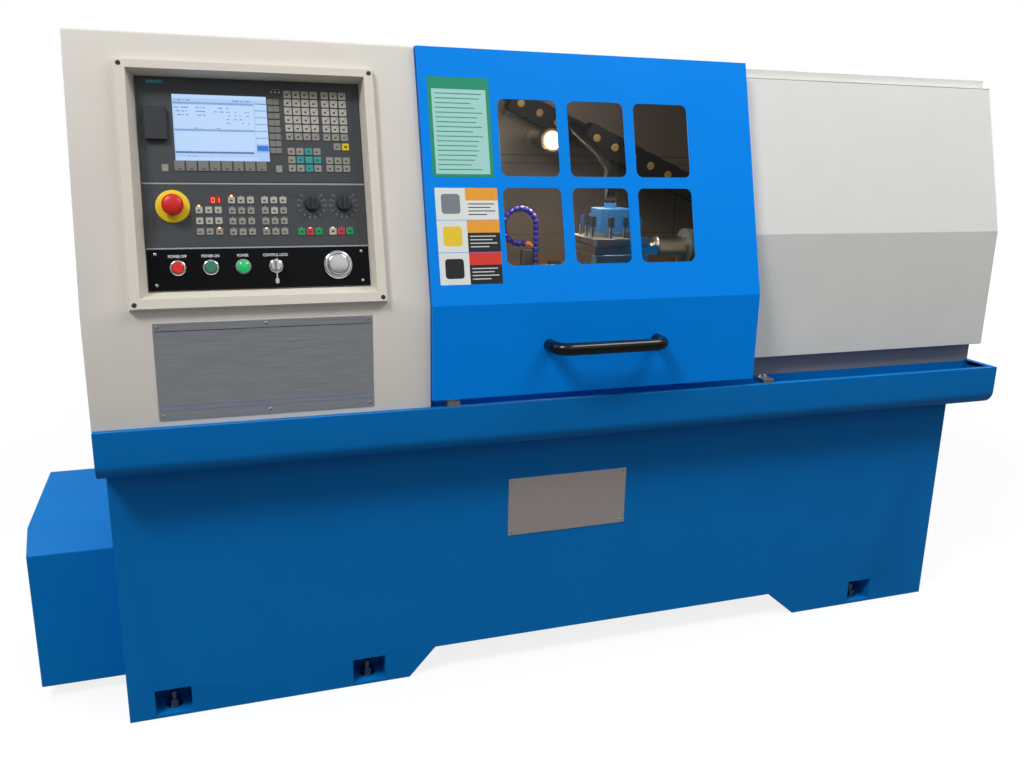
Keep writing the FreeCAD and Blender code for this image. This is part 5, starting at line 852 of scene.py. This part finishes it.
# Dial marks round both knobs: ticks and small number marks on two circles.
KNOBS = {"spindle_knob": 433.0, "feed_knob": 496.0}
KNOB_V = 214.0
TICK = (20.6, 3.4, 0.9)             # radius of the circle, length and width of a mark
NUMBER_MARK = (26.4, 3.0, 2.4)
dial = np.radians(np.linspace(-222, 42, 12))[:, None]
dial_parts = []
for knob_u in KNOBS.values():
    for radius, length, width in (TICK, NUMBER_MARK):
        out = radius + np.array([-1, 1, 1, -1]) * length / 2
        side = np.array([-1, -1, 1, 1]) * width / 2
        u = knob_u + out * np.cos(dial) - side * np.sin(dial)
        v = KNOB_V + out * np.sin(dial) + side * np.cos(dial)
        low = np.stack([u, v, np.full(u.shape, FACE)], -1)
        marks = np.concatenate([low, low + (0, 0, PRINT)], 1).reshape(-1, 3)
        dial_parts.append((leaning(marks), closed_faces(2, 4, len(dial)), MARK_DIM))
piece("dial_marks", dial_parts, "machine")


# ---- fittings of the black plate and the panel
def turned_on(centres, profile, base, material, sides=40, face=leaning):
    """Round fittings standing on a face; profile is (radius, height over the base)."""
    points, faces = rounds(centres, [(r, base + h) for r, h in profile], sides)
    return face(points), faces, material


BUTTON_ROW = 91.9
STOP_U, START_U, LAMP_U, LOCK_U, CAP_U = 174.0, 234.0, 294.0, 356.0, 477.0
CAPTION_V, CAPTION_SIZE, CAPTION_NARROW = 114.0, 7.6, 0.86
collars = [(STOP_U, BUTTON_ROW), (START_U, BUTTON_ROW)]
plate_screws = [(134.6, 59.6), (134.6, 118.7), (524.6, 59.6), (524.6, 118.7)]
bezel_screws = [(94.5, 19.8), (94.5, 466.5), (556.5, 19.8), (556.5, 466.5)]
BEZEL_FRONT = 15.0
COLLAR = [(11.6, -1), (15.4, 0), (15.4, 2.2), (15.0, 3.2), (13.9, 4.3), (12.9, 4.9), (11.9, 4.9),
          (11.6, 4.4), (11.6, -1)]
LAMP_COLLAR = [(9.0, -1), (15.4, 0), (15.4, 2.4), (14.6, 3.6), (12.6, 4.2), (12.2, 3.6), (11.0, 3.6)]
LAMP_LENS = [(12.0, 3.0), (12.0, 5.0), (11.3, 7.4), (9.6, 9.2), (6.6, 10.5), (3.2, 10.95), (0, 11.0)]
LOCK_COLLAR = [(9.6, -1), (14.0, 0), (14.0, 2.6), (13.2, 4.0), (12.0, 4.8), (10.2, 5.0), (9.6, 4.6),
               (9.6, -1)]
CAP_RING = [(0, 0), (29.0, 0), (29.0, 2.4), (28.4, 3.8), (27.0, 5.0), (25.2, 5.8), (23.0, 6.0), (21.4, 5.2)]
CAP = [(21.4, 5.0), (21.2, 11.0), (20.6, 12.6), (19.2, 13.7), (17.4, 14.0), (0, 14.0)]
SCREW = [(0, 0), (3.2, 0), (3.2, 0.4), (2.9, 0.9), (2.2, 1.2), (1.3, 1.2), (1.2, 0.5), (0, 0.5)]
LARGE_SCREW = [(0, 0), (4.6, 0), (4.6, 0.3), (4.1, 0.8), (3.0, 1.15), (1.6, 1.15), (1.5, 0.4), (0, 0.4)]
DISC = [(12.4, 0), (31.2, 0), (31.2, 1.5), (30.6, 2.3), (29.4, 2.8), (14.0, 3.0), (12.4, 2.6), (12.4, 0)]
piece("plate_fittings", [
    turned_on(collars, COLLAR, PLATE, CHROME),
    turned_on((LAMP_U, BUTTON_ROW), LAMP_COLLAR, PLATE, CHROME),
    turned_on((LAMP_U, BUTTON_ROW), LAMP_LENS, PLATE, GREEN_LIT),
    turned_on((LOCK_U, BUTTON_ROW), LOCK_COLLAR, PLATE, CHROME),
    turned_on((CAP_U, BUTTON_ROW), CAP_RING, PLATE, CHROME, 64),
    turned_on((CAP_U, BUTTON_ROW), CAP, PLATE, SATIN_CHROME, 64),
    turned_on(plate_screws, SCREW, PLATE, SATIN_CHROME, 24),
    turned_on(bezel_screws, LARGE_SCREW, BEZEL_FRONT, KNOB_BLACK, 24),
    turned_on((172.0, 209.5), DISC, FACE, DISC_YELLOW, 72),
], "machine", ["panel_fittings"])


def caption(words, u):
    """Printed words over the fitting at u: an outline text made into a mesh and laid on the black plate."""
    text = bpy.data.curves.new("caption", "FONT")
    text.body = words
    text.align_x = "CENTER"
    text.align_y = "CENTER"
    text.size = CAPTION_SIZE
    text.space_character = 0.92
    text.offset = 0.018 * CAPTION_SIZE
    holder = placed("caption", text)
    bpy.context.view_layer.update()
    mesh = bpy.data.meshes.new_from_object(holder.evaluated_get(bpy.context.evaluated_depsgraph_get()))
    flat = np.empty(len(mesh.vertices) * 3)
    mesh.vertices.foreach_get("co", flat)
    flat = flat.reshape(-1, 3) * (CAPTION_NARROW, 1.0, 1.0) + (u, CAPTION_V, PLATE + PRINT)
    triangles = np.array([p.vertices[:] for p in mesh.polygons if len(p.vertices) == 3])
    bpy.data.objects.remove(holder)
    bpy.data.curves.remove(text)
    bpy.data.meshes.remove(mesh)
    return leaning(flat), [triangles], MARK_WHITE


piece("captions", [caption("POWER OFF", STOP_U), caption("POWER ON", START_U), caption("POWER", LAMP_U),
                   caption("CONTROL LOCK", LOCK_U)], "machine")

# Key left in the lock, its narrow shank and rounded bow hanging down.
KEY_STAND = PLATE + 9.5
KEY_EDGE = [(0.3, 0), (0, 0.3), (0, 1.5), (0.3, 1.8)]
piece("lock_key", [
    raised((LOCK_U, 77.0), (2.6, 22.0), SATIN_CHROME, KEY_STAND, KEY_EDGE, 1.0),
    raised((LOCK_U, 62.0), (7.0, 11.0), SATIN_CHROME, KEY_STAND, KEY_EDGE, 3.2),
], BODY_OF["key_switch"])

# Pointer lines on the two knobs.
KNOB_FRONT = FACE + 16.95
for knob_body, knob_u in KNOBS.items():
    pointer = printed((knob_u, KNOB_V + 8.0), (1.3, 8.4), MARK_WHITE, KNOB_FRONT, 0.3)
    piece(knob_body + "_line", [pointer], knob_body)


# ---- printed fields and bare plates
def field(x0, x1, z0, z1, material, level=1, face=door_face, base=0.0, radius=0.3):
    """Printed field between two corners; z is turned into the run up the lean where the face leans."""
    low, high = z0, z1
    if face is door_face:
        low, high = (z0 - KNEE) / math.cos(LEAN), (z1 - KNEE) / math.cos(LEAN)
    middle = ((x0 + x1) / 2, (low + high) / 2)
    return printed(middle, (x1 - x0, high - low), material, base, radius, 0.04 * level, face=face)


# Upper field on the door: green frame round a paler field with short lines.
line_rows = np.linspace(1311.0, 1160.0, 17)
line_ends = 792.0 - np.random.default_rng(3).random(17) * 34.0
upper = [field(675, 807, 1145, 1344, LABEL_GREEN, radius=2.0), field(683, 799, 1151, 1320, LABEL_MINT, 2)]
for z, end in zip(line_rows, line_ends):
    upper.append(field(689, end, z - 0.9, z + 0.9, LABEL_GREEN, 3))
piece("upper_label", upper, "door")


def label_row(top, strip, cell, ink, block):
    """Row of the lower field: white cell with a plain block, coloured strip over a cell with short lines."""
    row = [field(677, 741, top - 63.5, top, LABEL_WHITE), field(741, 811, top - 63.5, top, cell),
           field(741, 811, top - 25, top, strip, 2),
           field(689, 729, top - 51.5, top - 12, block, 2, radius=6.0)]
    for down, short in ((32.0, 4), (39.0, 12), (46.0, 2), (53.0, 20)):
        row.append(field(746, 806 - short, top - down - 1.0, top - down + 1.0, ink, 2))
    return row


piece("lower_label", label_row(1123.5, LABEL_ORANGE, LABEL_WHITE, LABEL_BLACK, LABEL_GREY)
      + label_row(1059.0, LABEL_ORANGE, LABEL_BLACK, LABEL_PALE, LABEL_YELLOW)
      + label_row(994.5, LABEL_RED, LABEL_BLACK, LABEL_PALE, LABEL_BLACK), "door")

# Bare plates: brushed sheet, printed lines, small dome screws and rivets.
SHEET = 1.5
SHEET_EDGE = [(0.0, 0.0), (0.0, 1.1), (0.12, 1.35), (0.4, SHEET), (1.6, SHEET)]
DOME = [(3.4, 0.0), (3.4, 0.3), (3.0, 0.9), (2.0, 1.2), (0.0, 1.3)]
spots = [(129.5, 694), (527.5, 694), (129.5, 868), (527.5, 868), (328.5, 694), (328.5, 868)]
rivets = [(863, 336), (1144, 336), (863, 460), (1144, 460)]
piece("plates", [
    raised((328.5, 781.0), (414.0, 190.0), BRUSHED, 0.0, SHEET_EDGE, 2.0, upright_cabinet),
    raised((1003.5, 398.0), (297.0, 140.0), BRUSHED_WARM, 0.0, SHEET_EDGE, 2.0, upright_base),
    field(124, 533, 859.0, 860.6, LINE_BLUE, 1, upright_cabinet, SHEET),
    field(124, 533, 712.0, 715.2, BAND_BLUE, 1, upright_cabinet, SHEET),
    field(124, 533, 703.0, 706.2, BAND_BLUE, 1, upright_cabinet, SHEET),
    turned_on(spots, DOME, SHEET, SATIN_CHROME, 20, upright_cabinet),
    turned_on(rivets, DOME, SHEET, SATIN_CHROME, 20, upright_base),
], "machine", ["bare_plates"])


# ---- inside the enclosure
def bead_profile(length, pitch, thin, thick):
    """Radius along a hose of snapped segments: a rounded bead and a short neck every pitch."""
    count = int(length / pitch)
    local = np.array([0.0, 0.06, 0.14, 0.3, 0.5, 0.7, 0.86, 0.94, 1.0])
    swell = np.array([0.0, 0.35, 0.72, 0.96, 1.0, 0.96, 0.72, 0.35, 0.0])
    run = (np.arange(count)[:, None] + local[None, :-1]).ravel() * pitch
    radius = thin + (thick - thin) * np.tile(swell[:-1], count)
    return np.append(run, count * pitch), np.append(radius, thin)


# Segmented coolant hose: straight up from its valve, three quarters of a loop, then out to the nozzle.
SADDLE_TOP = 845.0
HOSE_X, HOSE_Y = 1072.0, 450.0
LOOP_Z, LOOP_RADIUS, LOOP_TURN = 1002.0, 46.0, math.radians(270)
BEND_RADIUS, BEND_TURN = 20.0, math.pi / 2
rise_length, loop_run, bend_run = LOOP_Z - SADDLE_TOP, LOOP_RADIUS * LOOP_TURN, BEND_RADIUS * BEND_TURN


def hose_line(s):
    """Points of the hose's middle line at runs s: line, arc in the x-z plane, arc towards the front, line."""
    a = np.clip((s - rise_length) / LOOP_RADIUS, 0, LOOP_TURN)
    b = np.clip((s - rise_length - loop_run) / BEND_RADIUS, 0, BEND_TURN)
    past = np.clip(s - rise_length - loop_run - bend_run, 0, None)
    x = HOSE_X - LOOP_RADIUS + LOOP_RADIUS * np.cos(a) + BEND_RADIUS * np.sin(b)
    y = HOSE_Y - BEND_RADIUS * (1 - np.cos(b)) - past
    z = SADDLE_TOP + np.minimum(s, rise_length) + LOOP_RADIUS * np.sin(a)
    return np.stack([x, y, z], -1)


def valve_block(middle_x, half_x, levels):
    """Block of the hose's valve, standing on the saddle: levels are (inset, z)."""
    points, faces = slabs((middle_x, 0.0), (half_x, 11.9), 2.0, levels)
    return mm(points + (0.0, 448.0, 0.0)), faces, DARK_STEEL


run, radius = bead_profile(rise_length + loop_run + bend_run, 14.6, 5.3, 8.4)
tip = np.array([0, 4, 6, 24, 30, 34.0]) + run[-1]
piece("coolant_hose_beads", [
    tube(hose_line(run), radius, HOSE_BLUE),
    tube(hose_line(tip), [6.6, 8.2, 8.0, 5.4, 4.4, 4.2], NOZZLE_ORANGE),
    valve_block(1045.5, 14.5, [(0, SADDLE_TOP), (0, 938.6), (0.5, 939.6), (1.2, 940.0), (2.4, 940.0)]),
    valve_block(1060.5, 29.5, [(0, SADDLE_TOP), (0, 863.8), (0.6, 864.8), (1.4, 865.0)]),
], "carriage", ["coolant_hose"])

# Cable chain: gold studs on the front of every link of its two runs, which slope down to the right.
LINK = 59.0
NEAR_LINKS, FAR_LINKS = 7, 10
RUN_APART = 150.0
STUD_OUT = 17.0         # from the links' middle plane to their front faces
chain_slope = math.radians(23.3)
run_way = np.array([math.cos(chain_slope), 0.0, -math.sin(chain_slope)])
depth_way = np.array([0.0, RUN_APART, 18.0])
depth_way /= np.linalg.norm(depth_way)
rise_way = np.cross(depth_way, run_way)
rise_way *= np.sign(rise_way[2])
chain_end = np.array([1231.0, 450.0, 1234.0]) - run_way * LINK / 2
near_places = run_way * (np.arange(NEAR_LINKS)[:, None] + 0.5) * LINK
far_places = run_way * (NEAR_LINKS * LINK - (np.arange(FAR_LINKS)[:, None] + 0.5) * LINK)
near_studs = chain_end + near_places - depth_way * STUD_OUT
far_studs = chain_end + far_places + depth_way * (RUN_APART - STUD_OUT)
STUD = [(10.5, -0.3), (10.5, 0.5), (9.8, 1.1), (7.6, 1.3), (7.0, 0.6), (0, 0.6)]


def studs(centres):
    """Round studs on the links' front faces: the profile turned about the face's normal."""
    points, faces = rounds(np.zeros((len(centres), 2)), STUD, 28)
    along, up, out = np.split(points.reshape(len(centres), -1, 3), 3, axis=-1)
    places = centres[:, None] + along * run_way + up * rise_way - out * depth_way
    return mm(places.reshape(-1, 3)), faces, BRASS_STUD


chain_studs = piece("chain_studs", [studs(near_studs), studs(far_studs)], None)
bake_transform(chain_studs)

# Ribbed conduit from the chain's end down to the turret cap; its radius swells as a sine of the run.
CONDUIT_X, CONDUIT_Y = 1169.5, 198.0
CONDUIT_STEP = 1.1
RIB_PITCH = 6.0
first = chain_end - run_way * 1.2
conduit_path = curve_through([first, first - run_way * 26, first - run_way * 40 + (-2.0, -16.0, -4.0),
                              (1170.0, 300.0, 1199.0), (CONDUIT_X, 226.0, 1166.0), (CONDUIT_X, 201.0, 1144.0),
                              (CONDUIT_X, CONDUIT_Y, 1120.0), (CONDUIT_X, CONDUIT_Y, 1080.0)], 400)
steps = np.concatenate([[0], np.cumsum(np.linalg.norm(np.diff(conduit_path, axis=0), axis=1))])
even = np.linspace(0, steps[-1], int(steps[-1] / CONDUIT_STEP))
ribbed_line = np.stack([np.interp(even, steps, conduit_path[:, k]) for k in range(3)], -1)
rib = 10.0 + 0.9 * np.sin(2 * math.pi * even / RIB_PITCH)
ribbed = piece("ribbed_conduit", [tube(ribbed_line, rib, RUBBER, 24)], None, ["conduit"])
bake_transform(ribbed)
GLAND = [(15.4, 1079.0), (15.4, 1086.0), (14.6, 1087.0), (12.6, 1087.4), (12.4, 1092.0), (11.4, 1093.0),
         (9.0, 1093.0)]
gland = turned_on((CONDUIT_X, CONDUIT_Y), GLAND, 0.0, NYLON_BLACK, 6, mm)
piece("conduit_gland", [gland], "cross_slide", bevel=0.3)

# Lamp glass: a shallow lit dome in the lamp's rim, facing the front.
LAMP_CENTRE = (1126.0, 1224.0)
LAMP_FRONT = 491.0
LENS_RIM = [(0.0, -1.0), (26.0, -1.0), (26.0, 0.0), (25.2, 2.4), (24.0, 4.0), (0.0, 4.2)]
LENS = [(23.6, 3.6), (20.6, 6.6), (14.4, 9.0), (7.4, 10.2), (0.0, 10.6)]


def lamp_front(points):
    """Points on the work lamp's front."""
    return upright(points, LAMP_FRONT)


piece("lamp_glass", [turned_on(LAMP_CENTRE, LENS_RIM, 0.0, LAMP_RIM, face=lamp_front),
                     turned_on(LAMP_CENTRE, LENS, 0.0, LAMP_WARM, face=lamp_front)], "machine")
lamp_light = softbox("work lamp", at(1126.0, 470.0, 1222.0), at(1040.0, 250.0, 900.0), 0.05, 0.05, 5.0,
                     (1.0, 0.80, 0.52))
fill = softbox("enclosure fill", at(1060.0, 95.0, 1330.0), at(1100.0, 600.0, 950.0), 0.60, 0.06, 5.0,
               (1.0, 0.94, 0.86))
fill.visible_camera = False
lamp_light.visible_camera = False


def seam(x0, x1, z0, z1):
    """Folded seam between two sheets of the rear wall."""
    middle = ((x0 + x1) / 2, (z0 + z1) / 2)
    return printed(middle, (x1 - x0, z1 - z0), SEAM, 0.0, 0.2, 0.2, face=rear_wall)


piece("rear_wall_seams", [
    seam(662, 1690, 1182, 1184.4), seam(662, 1690, 1160, 1162),
    seam(1588, 1590.4, 700, 1160), seam(662, 1690, 960, 961.6),
], "machine")

# Dried coolant and fine chips lie against the wall: a low bank, whose crest is a sum of three sines along the
# machine and whose front thins out upwards.
BANK_COLUMNS, BANK_ROWS = 190, 14
BANK_FOOT = 700.0
along = np.linspace(700.0, 1640.0, BANK_COLUMNS)
crest = 888.0 + 9.0 * np.sin(along / 57.0) + 6.0 * np.sin(along / 23.0 + 1.3) + 4.0 * np.sin(along / 9.0)
share = np.linspace(0.0, 1.0, BANK_ROWS)[:, None]
thickness = 2.4 - 2.2 * share + 0.25 * np.sin(along / 6.0 + share * 9.0)
bank = np.stack([along + 0 * share, BANK_FOOT + share * (crest - BANK_FOOT), thickness], -1).reshape(-1, 3)
piece("chip_bank", [(rear_wall(bank), [grid_faces(BANK_ROWS, BANK_COLUMNS, False)], WALL_STAIN)], "machine")

# Swarf on the saddle and in the tray: short curled chips, seeded.
CHIP_WIDTH, CHIP_THICKNESS = 3.0, 0.25
draw = np.random.default_rng(11)


def chips(count, low, high, name, body):
    """Curled chips: strips along a short helix r (cos t, sin t) + pitch t, at seeded places and turns."""
    t = np.linspace(0, 1, 13)
    middle = draw.uniform(low, high, (count, 3))
    radius = draw.uniform(1.6, 3.8, count)[:, None]
    angle = draw.uniform(3.0, 9.0, count)[:, None] * t
    heading = draw.uniform(0, 2 * math.pi, count)[:, None]
    along_run = (t - 0.5) * draw.uniform(3.0, 12.0, count)[:, None]
    side = radius * np.cos(angle)
    up = radius * np.sin(angle) + radius
    x = middle[:, :1] + along_run * np.cos(heading)
    y = middle[:, 1:2] + along_run * np.sin(heading)
    line = np.stack([x - side * np.sin(heading), y + side * np.cos(heading), middle[:, 2:] + up], -1)
    core = np.stack([x, y, middle[:, 2:] + radius + 0 * t], -1)
    half = np.stack([np.cos(heading), np.sin(heading), np.zeros_like(heading)], -1) * CHIP_WIDTH / 2
    inward = core - line
    inward *= CHIP_THICKNESS / np.linalg.norm(inward, axis=-1, keepdims=True)
    ring = np.stack([line - half, line + half, line + half + inward, line - half + inward], 2)
    piece(name, [(mm(ring.reshape(-1, 3)), closed_faces(len(t), 4, count), SWARF)], body)


chips(420, (1035, 300, 845.2), (1110, 428, 846.5), "chips_on_saddle", "carriage")
chips(700, (700, 440, 576.5), (1680, 630, 580.0), "chips_in_tray", "machine")
